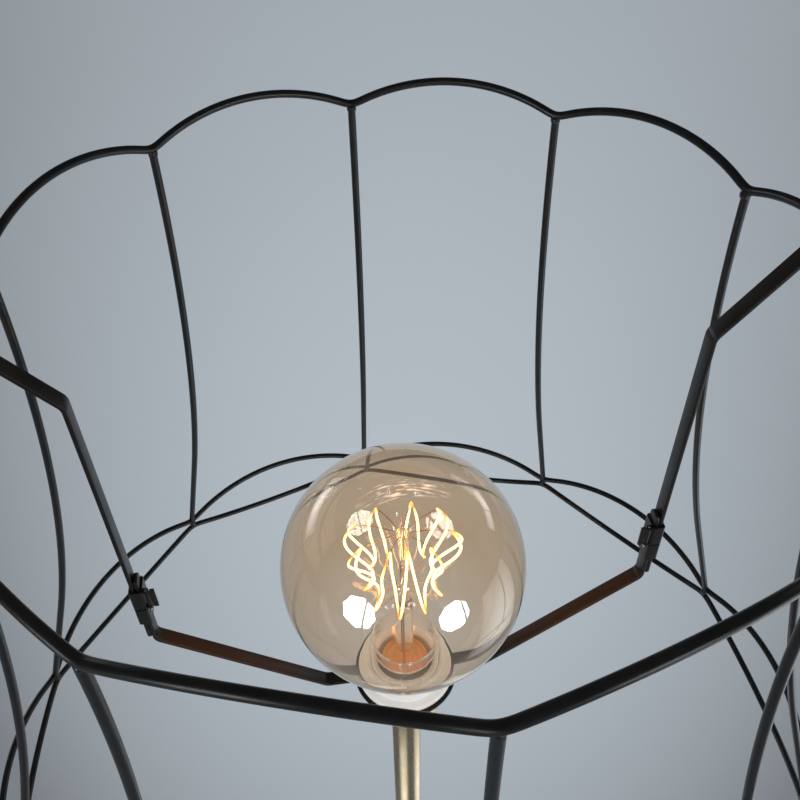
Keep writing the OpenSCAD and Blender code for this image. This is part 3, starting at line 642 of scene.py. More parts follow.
@dataclass(frozen=True)
class HeatedWire(Finish):
    """Fine wire that is dull metal at its foot and glows at the end that holds the filament: partly the
    filament's heat in it, partly the filament's light painted on as glow.
    """

    metal: Colour = colour(0.42, 0.36, 0.30)
    glow: Colour = colour(1.0, 0.36, 0.07)
    power: float = 1.4

    def paint(self, shader: Shader) -> None:
        """Builds the wire, with a glow from the heat kept on its points that is partly painted light."""
        heat = shader.get("ShaderNodeAttribute", out="Fac", attribute_name="warmth")
        scale = shader.noise(0.4, 2.0)
        shader.set(
            Base_Color=self.metal,
            Metallic=1.0,
            Roughness=shader.spread(scale, 0.25, 0.45),
            # Partly painted light: the glow also stands for the filament's light on the wire.
            Emission_Color=self.glow,
            Emission_Strength=heat * self.power,
        )


WIRE_COAT = PowderCoat("wire_powder_coat", Slot.BLACK_WIRE)
STRIP_COAT = PowderCoat("strip_powder_coat", Slot.BLACK_STRIP, base=colour(0.0046, 0.0034, 0.0026),
                        worn=colour(0.0076, 0.0058, 0.0045), roughness=0.33, grain=0.6, index=1.42)
# The arms' coat has the filament's glow painted on its slopes.
ARM_COAT = GlowPaintedPowderCoat("glow_painted_powder_coat", Slot.BLACK_STRIP, base=STRIP_COAT.base,
                            worn=STRIP_COAT.worn, roughness=0.33, grain=0.6, index=1.42)
POST_BRASS = SatinBrass("post_brass", Slot.SATIN_BRASS)
TURNED_BRASS = SatinBrass("turned_brass", Slot.SATIN_BRASS, grain=Grain.TURNED)
RAW_BRASS = SatinBrass("raw_brass", Slot.RAW_BRASS, base=colour(0.62, 0.45, 0.20),
                       dull=colour(0.42, 0.29, 0.13), roughness=0.32)
STEEL = PlatedSteel("plated_steel", Slot.STEEL)
PIN_STEEL = replace(STEEL, slot=Slot.DARK_RIVET)
RIVET_STEEL = PlatedSteel("darkened_rivet_steel", Slot.DARK_RIVET, base=colour(0.36, 0.32, 0.27),
                          shade=colour(0.24, 0.21, 0.18), roughness=0.2)
IRON = Skin("cast_iron", Slot.IRON, colour(0.030, 0.031, 0.034), colour(0.070, 0.066, 0.062), (0.55, 0.78),
            clouds=(3.0, 6.0), skin=(0.7, 3.0), tones=(0.5, 0.72), relief=(1.0, 0.4), depth=0.25,
            metallic=0.3)
FELT = Felt("floor_felt", Slot.FELT)
WHITE_PLASTIC = Skin("white_moulding", Slot.WHITE_PLASTIC, colour(0.90, 0.89, 0.865),
                     colour(0.85, 0.835, 0.805), (0.24, 0.36), through=0.12)
BLACK_PLASTIC = Skin("black_moulding", Slot.BLACK_BUSH, colour(0.018, 0.018, 0.019),
                     colour(0.026, 0.026, 0.027), (0.38, 0.50))
LEAD_JACKET = Skin("lead_jacket", Slot.LEAD_JACKET, colour(0.55, 0.52, 0.45), colour(0.48, 0.45, 0.38),
                   (0.36, 0.48), through=0.05)
# The globe's veil, foot glow and glints are painted filament light.
GLOBE_GLASS = BlownGlass("tinted_globe_glass", Slot.TINTED_GLASS, tint=colour(0.90, 0.73, 0.56),
                         edge=colour(0.90, 0.83, 0.73), neck=colour(0.97, 0.93, 0.87), veil_power=0.018,
                         foot_power=0.05, glint_power=1.0)
# Painted warm light: the stem's orange tint low down and its glow stand for the cap's and the filament's
# light in clear glass.
STEM_GLASS = BlownGlass("clear_stem_glass", Slot.CLEAR_GLASS, neck=colour(0.72, 0.38, 0.14),
                        neck_span=(1256.0, 1270.0), veil=colour(1.0, 0.72, 0.45), veil_power=0.04,
                        foot=colour(1.0, 0.66, 0.24), foot_power=0.07, wave=6.0, depth=0.04)
COIL = GlowingCoil("filament_coil", Slot.FILAMENT_GLOW)
SUPPORT_WIRE = HeatedWire("support_wire", Slot.SUPPORT_WIRE)
LEAD_WIRE = HeatedWire("lead_wire", Slot.SUPPORT_WIRE, metal=colour(0.52, 0.50, 0.47), power=0.5)
CAP_BRASS = Skin("cap_brass", Slot.CAP_BRASS, colour(0.80, 0.55, 0.24), colour(0.55, 0.33, 0.12),
                 (0.20, 0.37), clouds=(3.5, 4.0), skin=(0.5, 3.0), relief=(1.0, 0.3), depth=0.03,
                 metallic=1.0)
# The cap's lining has the filament's light painted on it as an orange glow.
CAP_LINING = replace(CAP_BRASS, name="cap_lining_brass", lit=colour(0.44, 0.28, 0.045), power=0.72)
CAP_BLACK = Skin("cap_glass_black", Slot.CAP_BLACK, colour(0.012, 0.011, 0.013), colour(0.02, 0.018, 0.02),
                 (0.11, 0.23))


# Mesh helpers


def new_piece(name: str, bm: bmesh.types.BMesh, sharp: float = 35.0) -> bpy.types.Object:
    """Turns a bmesh in millimetres into an object in metres.

    Args:
        name: The piece's name.
        bm: Its faces, which are freed here.
        sharp: Edges that turn by more than this angle stay sharp.

    Returns:
        The object, at the origin.
    """
    bmesh.ops.transform(bm, matrix=Matrix.Scale(MM, 4), verts=bm.verts)
    mesh = bpy.data.meshes.new(name)
    bm.to_mesh(mesh)
    bm.free()
    mesh.polygons.foreach_set("use_smooth", [True] * len(mesh.polygons))
    mesh.set_sharp_from_angle(angle=math.radians(sharp))
    piece = bpy.data.objects.new(name, mesh)
    bpy.context.scene.collection.objects.link(piece)
    return piece


def rounded(corners: Sequence[Corner], closed: bool = True, steps: int = 6) -> list[Point]:
    """Rounds a profile's corners.

    Args:
        corners: Each corner's radius from the axis, height and, where it is rounded, rounding radius.
        closed: Whether the last corner joins the first.
        steps: Steps in each rounded corner.

    Returns:
        The profile's points.
    """
    points: list[Point] = []
    count = len(corners)
    for i, corner in enumerate(corners):
        if len(corner) < 3 or (not closed and i in (0, count - 1)):
            points.append(corner[:2])
            continue
        at = Vector(corner[:2])
        back = (Vector(corners[i - 1][:2]) - at).normalized()
        ahead = (Vector(corners[(i + 1) % count][:2]) - at).normalized()
        half = back.angle(ahead) / 2
        start = at + back * (corner[2] / math.tan(half))
        middle = at + (back + ahead).normalized() * (corner[2] / math.sin(half))
        spoke = start - middle
        turn = math.pi - 2 * half
        way = 1.0 if back.x * ahead.y - back.y * ahead.x < 0 else -1.0
        for k in range(steps + 1):
            a = way * turn * k / steps
            points.append((middle.x + spoke.x * math.cos(a) - spoke.y * math.sin(a),
                           middle.y + spoke.x * math.sin(a) + spoke.y * math.cos(a)))
    return points


def lathe(name: str, profile: Sequence[Point], segments: int = 96, sharp: float = 35.0) -> bpy.types.Object:
    """Turns a profile round the axis.

    Args:
        name: The piece's name.
        profile: Points (r, z) of a closed outline; points on the axis become poles.
        segments: Steps round the axis.
        sharp: Angle above which an edge stays sharp.

    Returns:
        The turned piece, with its faces outwards.
    """
    outline = [p for i, p in enumerate(profile) if math.dist(p, profile[i - 1]) > SAME_POINT]
    area = sum(a[0] * b[1] - b[0] * a[1] for a, b in zip(outline, outline[1:] + outline[:1]))
    if area < 0:
        outline.reverse()
    bm = bmesh.new()
    rows: list[list[bmesh.types.BMVert]] = []
    for r, z in outline:
        if r < ON_AXIS:
            rows.append([bm.verts.new((0.0, 0.0, z))])
            continue
        angles = (2 * math.pi * k / segments for k in range(segments))
        rows.append([bm.verts.new((r * math.cos(a), r * math.sin(a), z)) for a in angles])
    for low, high in zip(rows, rows[1:] + rows[:1]):
        if len(low) == 1 and len(high) == 1:
            continue
        for k in range(segments):
            n = (k + 1) % segments
            if len(low) == 1:
                bm.faces.new((low[0], high[n], high[k]))
            elif len(high) == 1:
                bm.faces.new((low[k], low[n], high[0]))
            else:
                bm.faces.new((low[k], low[n], high[n], high[k]))
    return new_piece(name, bm, sharp)


def arc(centre: Point, radius: float, first: float, last: float, steps: int) -> list[Point]:
    """Points on an arc, with its angles in degrees."""
    angles = (math.radians(first + (last - first) * k / steps) for k in range(steps + 1))
    return [(centre[0] + radius * math.cos(a), centre[1] + radius * math.sin(a)) for a in angles]


def dressed_copy(node: str, name: str, bevel: float) -> bpy.types.Object:
    """Copies a CAD node, merges its loose triangles and rounds its edges.

    Args:
        node: The CAD node.
        name: The copy's name.
        bevel: Width of the rounding in millimetres.

    Returns:
        The copy, with its modifiers applied.
    """
    bm = bmesh.new()
    bm.from_mesh(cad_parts[node].data)
    bmesh.ops.remove_doubles(bm, verts=bm.verts, dist=MERGE_WITHIN)
    bmesh.ops.dissolve_limit(bm, angle_limit=math.radians(FLAT_WITHIN), verts=bm.verts, edges=bm.edges)
    bmesh.ops.transform(bm, matrix=Matrix.Scale(1 / MM, 4), verts=bm.verts)
    piece = new_piece(name, bm)
    modifier = piece.modifiers.new("Edges", "BEVEL")
    modifier.width = bevel * MM
    modifier.segments = 2
    modifier.limit_method = "ANGLE"
    modifier.angle_limit = math.radians(BEVEL_ABOVE)
    modifier.use_clamp_overlap = True
    depsgraph = bpy.context.evaluated_depsgraph_get()
    mesh = bpy.data.meshes.new_from_object(piece.evaluated_get(depsgraph), depsgraph=depsgraph)
    piece.modifiers.clear()
    plain, piece.data = piece.data, mesh
    bpy.data.meshes.remove(plain)
    mesh.name = name
    return piece


def settle(piece: bpy.types.Object, body: Body, finish: Finish, *nodes: str) -> None:
    """Finishes a piece: its material, its body and the nodes that it stands for.

    Args:
        piece: The piece, at the origin.
        body: The body it rides on.
        finish: Its finish.
        nodes: The CAD nodes that it replaces.
    """
    piece.data.materials.clear()
    piece.data.materials.append(finish.material())
    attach(piece, body.value)
    if nodes:
        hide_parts(*nodes)
    LOG.info("%s: %d faces on %s", piece.name, len(piece.data.polygons), body.value)


def turned(name: str, body: Body, finish: Finish, node: str, corners: Sequence[Corner], steps: int = 6,
           segments: int = 96) -> None:
    """Turns a piece round the axis from the corners of its profile, and settles it.

    Args:
        name: The piece's name.
        body: The body it rides on.
        finish: Its finish.
        node: The CAD node that it replaces.
        corners: Its profile's corners.
        steps: Steps in each rounded corner.
        segments: Steps round the axis.
    """
    settle(lathe(name, rounded(corners, steps=steps), segments), body, finish, node)


def copied(node: str, name: str, body: Body, finish: Finish, bevel: float) -> None:
    """Settles a copy of a CAD node with its edges rounded.

    Args:
        node: The CAD node, which the copy replaces.
        name: The copy's name.
        body: The body it rides on.
        finish: Its finish.
        bevel: Width of the rounding in millimetres.
    """
    settle(dressed_copy(node, name, bevel), body, finish, node)


def dress(node: str, finish: Finish) -> None:
    """Gives a CAD node that stays in view or inside its finish."""
    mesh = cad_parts[node].data
    mesh.materials.clear()
    mesh.materials.append(finish.material())
    LOG.info("%s: CAD node in %s", node, finish.name)


# Sub-assemblies


@dataclass
class Heights:
    """Heights that several sub-assemblies share."""

    cover_top: float = 22.1
    joint: float = 605.1
    upper_tube: float = 610.1
    post_top: float = 1190.1
    cup_top: float = 1230.1
    seat: float = 1230.4
    globe: float = 1332.9
    shade_top: float = 1501.4
    shade_bottom: float = 1150.4


HEIGHTS = Heights()


@dataclass
class Base:
    """Round weighted base: felt, iron ballast, brass cover, cord bush and what is inside."""

    diameter: float = 270.0
    cover: float = 1.5
    edge: float = 9.0
    lift: float = 1.0
    pad: float = 2.5
    pad_inset: float = 4.7
    pad_hole: float = 44.0
    hole: float = 10.6

    def build(self) -> None:
        """Turns the pad and the cover, and copies the pieces inside with their edges rounded."""
        r, top, t = self.diameter / 2, HEIGHTS.cover_top, self.cover
        turned("base_cover_shell", Body.STAND, TURNED_BRASS, "base_cover", [
            (self.hole / 2, top), (self.hole / 2, top - t), (r - t, top - t, self.edge - t),
            (r - t, self.lift), (r, self.lift, 0.4), (r, top, self.edge),
        ], 14, 192)
        r, hole = self.diameter / 2 - self.pad_inset, self.pad_hole / 2
        turned("felt_floor_pad", Body.STAND, FELT, "floor_pad",
               [(hole, 0, 0.4), (r, 0, 0.8), (r, self.pad, 0.3), (hole, self.pad, 0.3)], 4, 160)
        for node, name, finish, bevel in (
            ("cord_bush", "cord_inlet_bush", BLACK_PLASTIC, 0.3),
            ("ballast_weight", "ballast_casting", IRON, 0.8),
            ("terminal_block", "lead_terminal_block", WHITE_PLASTIC, 0.4),
            ("base_washer", "fixed_base_washer", STEEL, 0.15),
            ("base_nut", "fixed_base_nut", STEEL, 0.15),
            ("foot_rod", "fixed_foot_rod", STEEL, 0.15),
            ("inner_lead", "mains_lead_inside", LEAD_JACKET, 0.1),
        ):
            copied(node, name, Body.STAND, finish, bevel)


@dataclass
class Post:
    """Two brass tubes with a joint ring between them and a turned collar at the foot."""

    diameter: float = 18.0
    wall: float = 1.0
    foot_diameter: float = 46.0
    foot_height: float = 14.0
    foot_flange: float = 3.0
    ring_height: float = 5.0
    ring_proud: float = 1.2
    gap: float = 0.1

    def build(self) -> None:
        """Turns the tubes, the joint ring and the collar with its cove, and copies the pieces inside."""
        r, bore = self.diameter / 2, self.diameter / 2 - self.wall
        for name, node, low, high in (
            ("lower_brass_tube", "lower_post_tube", HEIGHTS.cover_top + self.gap, HEIGHTS.joint - self.gap),
            ("upper_brass_tube", "upper_post_tube", HEIGHTS.upper_tube + self.gap, HEIGHTS.post_top),
        ):
            turned(name, Body.STAND, POST_BRASS, node,
                   [(bore, low, 0.2), (r, low, 0.3), (r, high, 0.3), (bore, high, 0.2)], 3)
        low, high, proud = HEIGHTS.joint, HEIGHTS.joint + self.ring_height, r + self.ring_proud
        turned("brass_joint_ring", Body.STAND, TURNED_BRASS, "post_joint_ring",
               [(bore, low), (proud, low, 1.4), (proud, high, 1.4), (bore, high)])
        low, bore, foot, neck = HEIGHTS.cover_top + self.gap, r + self.gap, self.foot_diameter / 2, r + 3
        cove = min(foot - neck, self.foot_height - self.foot_flange) - 1
        turned("turned_foot_collar", Body.STAND, TURNED_BRASS, "foot_collar", [
            (bore, low), (foot, low, 0.4), (foot, low + self.foot_flange, 0.8),
            (neck, low + self.foot_flange, cove), (neck, low + self.foot_height, 0.6),
            (bore, low + self.foot_height),
        ], 10, 128)
        for node in ("foot_plug", "head_plug", "post_joiner"):
            copied(node, "turned_" + node, Body.STAND, RAW_BRASS, 0.3)
        copied("head_rod", "fixed_head_rod", Body.STAND, STEEL, 0.2)


@dataclass
class Lampholder:
    """Brass cup round a white threaded lampholder, and its white retaining ring."""

    cup_diameter: float = 43.0
    cup_wall: float = 1.2
    cup_corner: float = 14.0
    cup_bore: float = 5.1
    sleeve_radius: float = 20.0
    sleeve_wall: float = 3.6
    sleeve_foot: float = 1206.4
    sleeve_top: float = 1243.4
    ring_foot: float = 1232.7
    ring_radius: float = 28.0
    ring_flange: float = 2.8
    ring_hub: float = 23.0
    ring_height: float = 9.0
    ring_bore: float = 20.3

    def build(self) -> None:
        """Turns the cup, the sleeve and the flanged retaining ring, and copies the pieces inside."""
        low, top, r, t = HEIGHTS.post_top, HEIGHTS.cup_top, self.cup_diameter / 2, self.cup_wall
        turned("brass_holder_cup", Body.STAND, TURNED_BRASS, "holder_cup", [
            (self.cup_bore, low), (r, low, self.cup_corner), (r, top, 0.5), (r - t, top, 0.5),
            (r - t, low + t, self.cup_corner - t), (self.cup_bore, low + t),
        ], 16, 128)
        r, bore = self.sleeve_radius, self.sleeve_radius - self.sleeve_wall
        turned("white_holder_sleeve", Body.STAND, WHITE_PLASTIC, "holder_sleeve",
               [(bore, self.sleeve_foot), (r, self.sleeve_foot), (r, self.sleeve_top, 0.9),
                (bore, self.sleeve_top, 0.9)], 5)
        low, bore, r, hub = self.ring_foot, self.ring_bore, self.ring_radius, self.ring_hub
        ledge, top = low + self.ring_flange, low + self.ring_height
        turned("white_retaining_ring", Body.LOCKING_RING, WHITE_PLASTIC, "retaining_ring", [
            (bore, low, 0.2), (r, low, 0.3), (r, ledge, 1.1), (hub, ledge, 0.5), (hub, top, 1.0),
            (bore, top, 0.5),
        ], 6, 128)
        copied("holder_core", "lampholder_core", Body.STAND, WHITE_PLASTIC, 0.3)
        for node, finish in (("cup_nut", STEEL), ("terminal_screws", STEEL), ("centre_contact", RAW_BRASS),
                             ("screw_shell", RAW_BRASS)):
            copied(node, "holder_" + node, Body.STAND, finish, 0.12)


@dataclass(frozen=True)
class Run:
    """A straight run of a strip and the turn after it, in degrees."""

    length: float
    turn: float = 0.0


@dataclass
class Strip:
    """A bent flat strip with eased edges and one round end."""

    width: float = 8.0
    thick: float = 2.0
    bend: float = 6.0
    ease: float = 0.45
    ease_share: float = 0.45
    bend_steps: int = 10
    run_steps: int = 6
    tip_steps: int = 7
    sharp: float = 50.0

    def samples(self, start: Point, heading: float, runs: Sequence[Run]) -> list[tuple[Vector, float]]:
        """Walks along the strip's centre line.

        Args:
            start: Its first point, as radius and height.
            heading: Its first heading in degrees.
            runs: Its runs and turns.

        Returns:
            Points with their headings in radians.
        """
        at, angle = Vector(start), math.radians(heading)
        found = [(at.copy(), angle)]
        for run in runs:
            ahead = Vector((math.cos(angle), math.sin(angle)))
            steps = (run.length * k / self.run_steps for k in range(1, self.run_steps + 1))
            found += [(at + ahead * step, angle) for step in steps]
            at = at + ahead * run.length
            if run.turn:
                way = math.copysign(1.0, run.turn)
                middle = at + way * self.bend * Vector((-math.sin(angle), math.cos(angle)))
                for k in range(1, self.bend_steps + 1):
                    a = angle + math.radians(run.turn) * k / self.bend_steps
                    found.append((middle + way * self.bend * Vector((math.sin(a), -math.cos(a))), a))
                at, angle = found[-1][0].copy(), found[-1][1]
        return found

    def section(self, half: float) -> list[Point]:
        """The strip's section, as height off the centre plane and place across, at a half width."""
        side = self.thick / 2
        ease = min(self.ease, half * self.ease_share)
        outline = [(-side, -half, ease), (side, -half, ease), (side, half, ease), (-side, half, ease)]
        return rounded(outline, steps=3)

    def build(self, name: str, side: Side, samples: list[tuple[Vector, float]]) -> bpy.types.Object:
        """Lofts the section along the samples, up to a last end that is a half circle.

        Args:
            name: The piece's name.
            side: The side of the carrier it stands on.
            samples: The centre line.

        Returns:
            The strip.
        """
        half = self.width / 2
        lengths = [0.0]
        for (p, _), (q, _) in zip(samples, samples[1:]):
            lengths.append(lengths[-1] + (q - p).length)
        total = lengths[-1]
        stations = [(s, half) for s in lengths if s < total - half]
        tip = [half * (1 - math.cos(math.radians(90 * k / self.tip_steps)))
               for k in range(self.tip_steps + 1)]
        stations += [(total - s, math.sqrt(max(half * half - (half - s) ** 2, 0.25))) for s in reversed(tip)]
        bm = bmesh.new()
        rows = []
        for s, reach in stations:
            i = max(k for k, length in enumerate(lengths) if length <= s + 1e-9)
            i = min(i, len(samples) - 2)
            share = (s - lengths[i]) / (lengths[i + 1] - lengths[i])
            at = samples[i][0].lerp(samples[i + 1][0], share)
            angle = samples[i][1] * (1 - share) + samples[i + 1][1] * share
            normal = Vector((-math.sin(angle), math.cos(angle)))
            row = []
            for off, across in self.section(reach):
                p = at + normal * off
                row.append(bm.verts.new((side.value * p.x, side.value * across, p.y)))
            rows.append(row)
        for low, high in zip(rows, rows[1:]):
            for k in range(len(low)):
                n = (k + 1) % len(low)
                bm.faces.new((low[k], low[n], high[n], high[k]))
        bm.faces.new(rows[0])
        bm.faces.new(rows[-1])
        bmesh.ops.recalc_face_normals(bm, faces=bm.faces)
        return new_piece(name, bm, self.sharp)


@dataclass
class ShadeCarrier:
    """Ring under the retaining ring, with two bent arms, their clips, rivets, pins and levers."""

    strip: Strip = field(default_factory=Strip)
    ring_outer: float = 30.0
    ring_bore: float = 20.3
    arm_in: float = 46.0
    arm_rise: float = 69.0
    arm_top: float = 121.0
    leg: float = 130.7

    def build(self) -> None:
        """Turns the flat ring and builds both sides."""
        low, high, bore, r = HEIGHTS.seat, HEIGHTS.seat + self.strip.thick, self.ring_bore, self.ring_outer
        turned("black_carrier_ring", Body.CARRIER, STRIP_COAT, "carrier_ring",
               [(bore, low, 0.3), (r, low, 0.4), (r, high, 0.4), (bore, high, 0.3)], 4, 128)
        for side in Side:
            self.build_arm(side)
            self.build_clip(side)

    def build_arm(self, side: Side) -> None:
        """Bends an arm: out from the ring, up the slope and upright through its clip."""
        slope = math.atan2(self.arm_rise, self.leg - self.arm_in)
        first_cut = self.strip.bend * math.tan(slope / 2)
        second_cut = self.strip.bend * math.tan((math.pi / 2 - slope) / 2)
        start = self.ring_outer - 1
        runs = [
            Run(self.arm_in - start - first_cut, math.degrees(slope)),
            Run(math.hypot(self.leg - self.arm_in, self.arm_rise) - first_cut - second_cut,
                90 - math.degrees(slope)),
            Run(self.arm_top - self.strip.thick / 2 - self.arm_rise - second_cut),
        ]
        samples = self.strip.samples((start, HEIGHTS.seat + self.strip.thick / 2), 0.0, runs)
        arm = self.strip.build(f"{side.word}_bent_arm", side, samples)
        settle(arm, Body.CARRIER, ARM_COAT, f"{side.word}_carrier_arm")

    def build_clip(self, side: Side) -> None:
        """Rounds the clip's edges, and makes its rivet, its pin and its lever."""
        lever = Body.LEFT_LEVER if side is Side.LEFT else Body.RIGHT_LEVER
        for node, name, body, finish, bevel in (
            ("clip", "height_clip", Body.CARRIER, STRIP_COAT, 0.25),
            ("clip_rivet", "domed_rivet", Body.CARRIER, RIVET_STEEL, 0.1),
            ("lever_pin", "hinge_pin", Body.CARRIER, PIN_STEEL, 0.3),
            ("lever", "clip_wing", lever, STRIP_COAT, 0.3),
        ):
            copied(f"{side.word}_{node}", f"{side.word}_{name}", body, finish, bevel)


@dataclass
class ShadeFrame:
    """Ten-panel wire frame: three scalloped rings, ten flared ribs, their welds and two hangers."""

    panels: int = 10
    wire: float = 2.0
    top_radius: float = 171.7
    bottom_radius: float = 247.0
    top_bulge: Point = (7.4, 12.5)
    upper_bulge: Point = (15.0, 14.0)
    lower_bulge: Point = (13.0, -19.0)
    lower_drop: float = 4.2
    straight: float = 95.0
    rib_trim: float = 0.6
    weld_rough: float = 0.7
    wire_sides: int = 16
    ring_steps: int = 72
    rib_steps: int = 48
    kink_softness: int = 6
    hanger_leg: float = 133.0
    hanger_drop: float = 35.0
    hanger_end: float = 71.5
    strip: Strip = field(default_factory=Strip)

    def build(self) -> None:
        """Builds the rings, ribs, welds and hangers."""
        rings = None
        top, bottom = HEIGHTS.shade_top, HEIGHTS.shade_bottom
        for name, node, radius, height, bulge in (
            ("scalloped_top_wire", "top_ring", self.top_radius, top, self.top_bulge),
            ("scalloped_bottom_wire", "upper_bottom_ring", self.bottom_radius, bottom, self.upper_bulge),
            ("hanging_bottom_wire", "lower_bottom_ring", self.bottom_radius, bottom - self.lower_drop,
             self.lower_bulge),
        ):
            values = {
                "Panels": self.panels, "Points per panel": self.ring_steps, "Vertex radius": radius * MM,
                "Height": height * MM, "Outward": bulge[0] * MM, "Upward": bulge[1] * MM,
                "Wire radius": self.wire * MM, "Kink softness": self.kink_softness,
            }
            rings = rings or self.ring_tree(values)
            settle(rings.grow(name, WIRE_COAT, values), Body.SHADE, WIRE_COAT, node)
        self.build_ribs()
        self.build_welds()
        for side in Side:
            self.build_hanger(side)

    def ring_tree(self, values: dict[str, float | int]) -> FormTree:
        """Writes the tree of a scalloped ring, whose wire turns tightly at each vertex.

        Args:
            values: The first ring's sizes, which name the inputs.

        Returns:
            The tree, with its sizes as inputs.
        """
        t = FormTree("ScallopedRing")
        panels, points, radius, height, outward, upward, wire, softness = t.sizes(values).values()
        count = panels * points
        route = t.get("GeometryNodeCurvePrimitiveCircle", {"Resolution": count, "Radius": 1.0})
        step = t.get("GeometryNodeInputIndex") / points
        panel = step.op("FLOOR")
        share = step - panel
        angle = (2 * math.pi) / panels
        half_chord = radius * (angle / 2).op("SINE")
        sag = (outward * outward + upward * upward).op("SQRT")
        arc_radius = (half_chord * half_chord + sag * sag) / (2 * sag)
        sweep = (half_chord / arc_radius).op("ARCSINE")
        phase = (share * 2 - 1) * sweep
        bulge = arc_radius * phase.op("COSINE") - (arc_radius - sag)
        along = arc_radius * phase.op("SINE")
        reach = radius * (angle / 2).op("COSINE") + bulge * outward / sag
        turn = panel * angle
        x = reach * turn.op("COSINE") - along * turn.op("SINE")
        y = reach * turn.op("SINE") + along * turn.op("COSINE")
        sharp = t.placed(route, t.vector(x, y, height + bulge * upward / sag))
        edge = share.op("MINIMUM", 1 - share) * points
        near_kink = (1 - edge / (softness * 1.5)).op("MAXIMUM", 0.0)
        blur = {"Value": t.get("GeometryNodeInputPosition"), "Iterations": softness, "Weight": near_kink}
        soft = t.get("GeometryNodeBlurAttribute", blur, data_type="FLOAT_VECTOR")
        t.close(t.sweep(t.placed(sharp, soft), wire, self.wire_sides))
        return t

    def build_ribs(self) -> None:
        """Sweeps one flared rib and sets it round the frame."""
        height = HEIGHTS.shade_top - HEIGHTS.shade_bottom
        angle = 2 * math.atan((self.bottom_radius - self.top_radius) / (height + self.straight))
        bend_radius = (height - self.straight * math.cos(angle)) / math.sin(angle)
        values = {
            "Panels": self.panels, "Top radius": self.top_radius * MM, "Top height": HEIGHTS.shade_top * MM,
            "Flare": angle, "Bend radius": bend_radius * MM, "Straight": self.straight * MM,
            "End trim": self.rib_trim * MM, "Wire radius": self.wire * MM,
        }
        t = FormTree("FlaredRibs")
        panels, top_radius, top, flare, bend, straight, trim, wire = t.sizes(values).values()
        share = t.get("GeometryNodeSplineParameter", out="Factor")
        bent = bend * flare
        walked = trim + share * (bent + straight - trim * 2)
        phase = walked.op("MINIMUM", bent) / bend
        rest = (walked - bent).op("MAXIMUM", 0.0)
        x = top_radius + bend * (1 - phase.op("COSINE")) + rest * flare.op("SINE")
        z = top - bend * phase.op("SINE") - rest * flare.op("COSINE")
        rib = t.sweep(t.placed(t.route(self.rib_steps), t.vector(x, 0.0, z)), wire, self.wire_sides)
        t.close(t.copies(t.spots(panels), rib, Rotation=t.vector(0.0, 0.0, t.turns(panels))))
        nodes = [f"rib_{k:02d}" for k in range(1, self.panels + 1)]
        settle(t.grow("flared_wire_ribs", WIRE_COAT, values), Body.SHADE, WIRE_COAT, *nodes)

    def build_welds(self) -> None:
        """Sets a small uneven weld where each rib meets a ring."""
        for name, r, z, size, share in (
            ("top_vertex_welds", self.top_radius - 0.4, HEIGHTS.shade_top - 1.4, 2.35, 1.25),
            ("bottom_vertex_welds", self.bottom_radius - 0.6, HEIGHTS.shade_bottom - 1.6, 2.5, 1.6),
        ):
            values = {"Panels": self.panels, "Vertex radius": r * MM, "Height": z * MM,
                      "Bead radius": size * MM, "Tallness": share, "Unevenness": self.weld_rough * MM}
            settle(self.weld_tree(values).grow(name, WIRE_COAT, values), Body.SHADE, WIRE_COAT)

    @staticmethod
    def weld_tree(values: dict[str, float | int]) -> FormTree:
        """Writes the tree of a ring of uneven weld beads.

        Args:
            values: The welds' sizes, which name the inputs.

        Returns:
            The tree, with its sizes as inputs.
        """
        t = FormTree("WeldBurrs")
        panels, radius, height, bead, tall, rough = t.sizes(values).values()
        ball = t.get("GeometryNodeMeshIcoSphere", {"Radius": bead, "Subdivisions": 4})
        turn = t.turns(panels)
        place = t.vector(radius * turn.op("COSINE"), radius * turn.op("SINE"), height)
        beads = t.copies(t.placed(t.spots(panels), place), ball, Rotation=t.vector(0.0, 0.0, turn),
                         Scale=t.vector(1.0, 1.0, tall))
        real = t.get("GeometryNodeRealizeInstances", {0: beads})
        ripple = t.get("ShaderNodeTexNoise", {"Scale": 420.0, "Detail": 2.0})
        normal = t.get("GeometryNodeInputNormal")
        off = {0: normal, "Scale": (ripple - 0.5) * rough * 2}
        push = t.get("ShaderNodeVectorMath", off, operation="SCALE")
        t.close(t.get("GeometryNodeSetPosition", {"Geometry": real, "Offset": push}))
        return t

    def build_hanger(self, side: Side) -> None:
        """Bends a hanger: down the slope from the top wire and upright through its clip."""
        panel = 2 * math.pi / self.panels
        start = self.top_radius * math.cos(panel / 2) + self.top_bulge[0]
        fall = self.hanger_drop + self.top_bulge[1]
        slope = math.atan2(fall, start - self.hanger_leg)
        cut = self.strip.bend * math.tan((math.pi / 2 - slope) / 2)
        runs = [
            Run(math.hypot(start - self.hanger_leg, fall) - cut, 90 - math.degrees(slope)),
            Run(HEIGHTS.shade_top - self.hanger_drop - cut - HEIGHTS.seat - self.hanger_end),
        ]
        top = (start, HEIGHTS.shade_top + self.top_bulge[1])
        samples = self.strip.samples(top, 180 + math.degrees(slope), runs)
        hanger = self.strip.build(f"{side.word}_bent_hanger", side, samples)
        settle(hanger, Body.SHADE, STRIP_COAT, f"{side.word}_hanger")


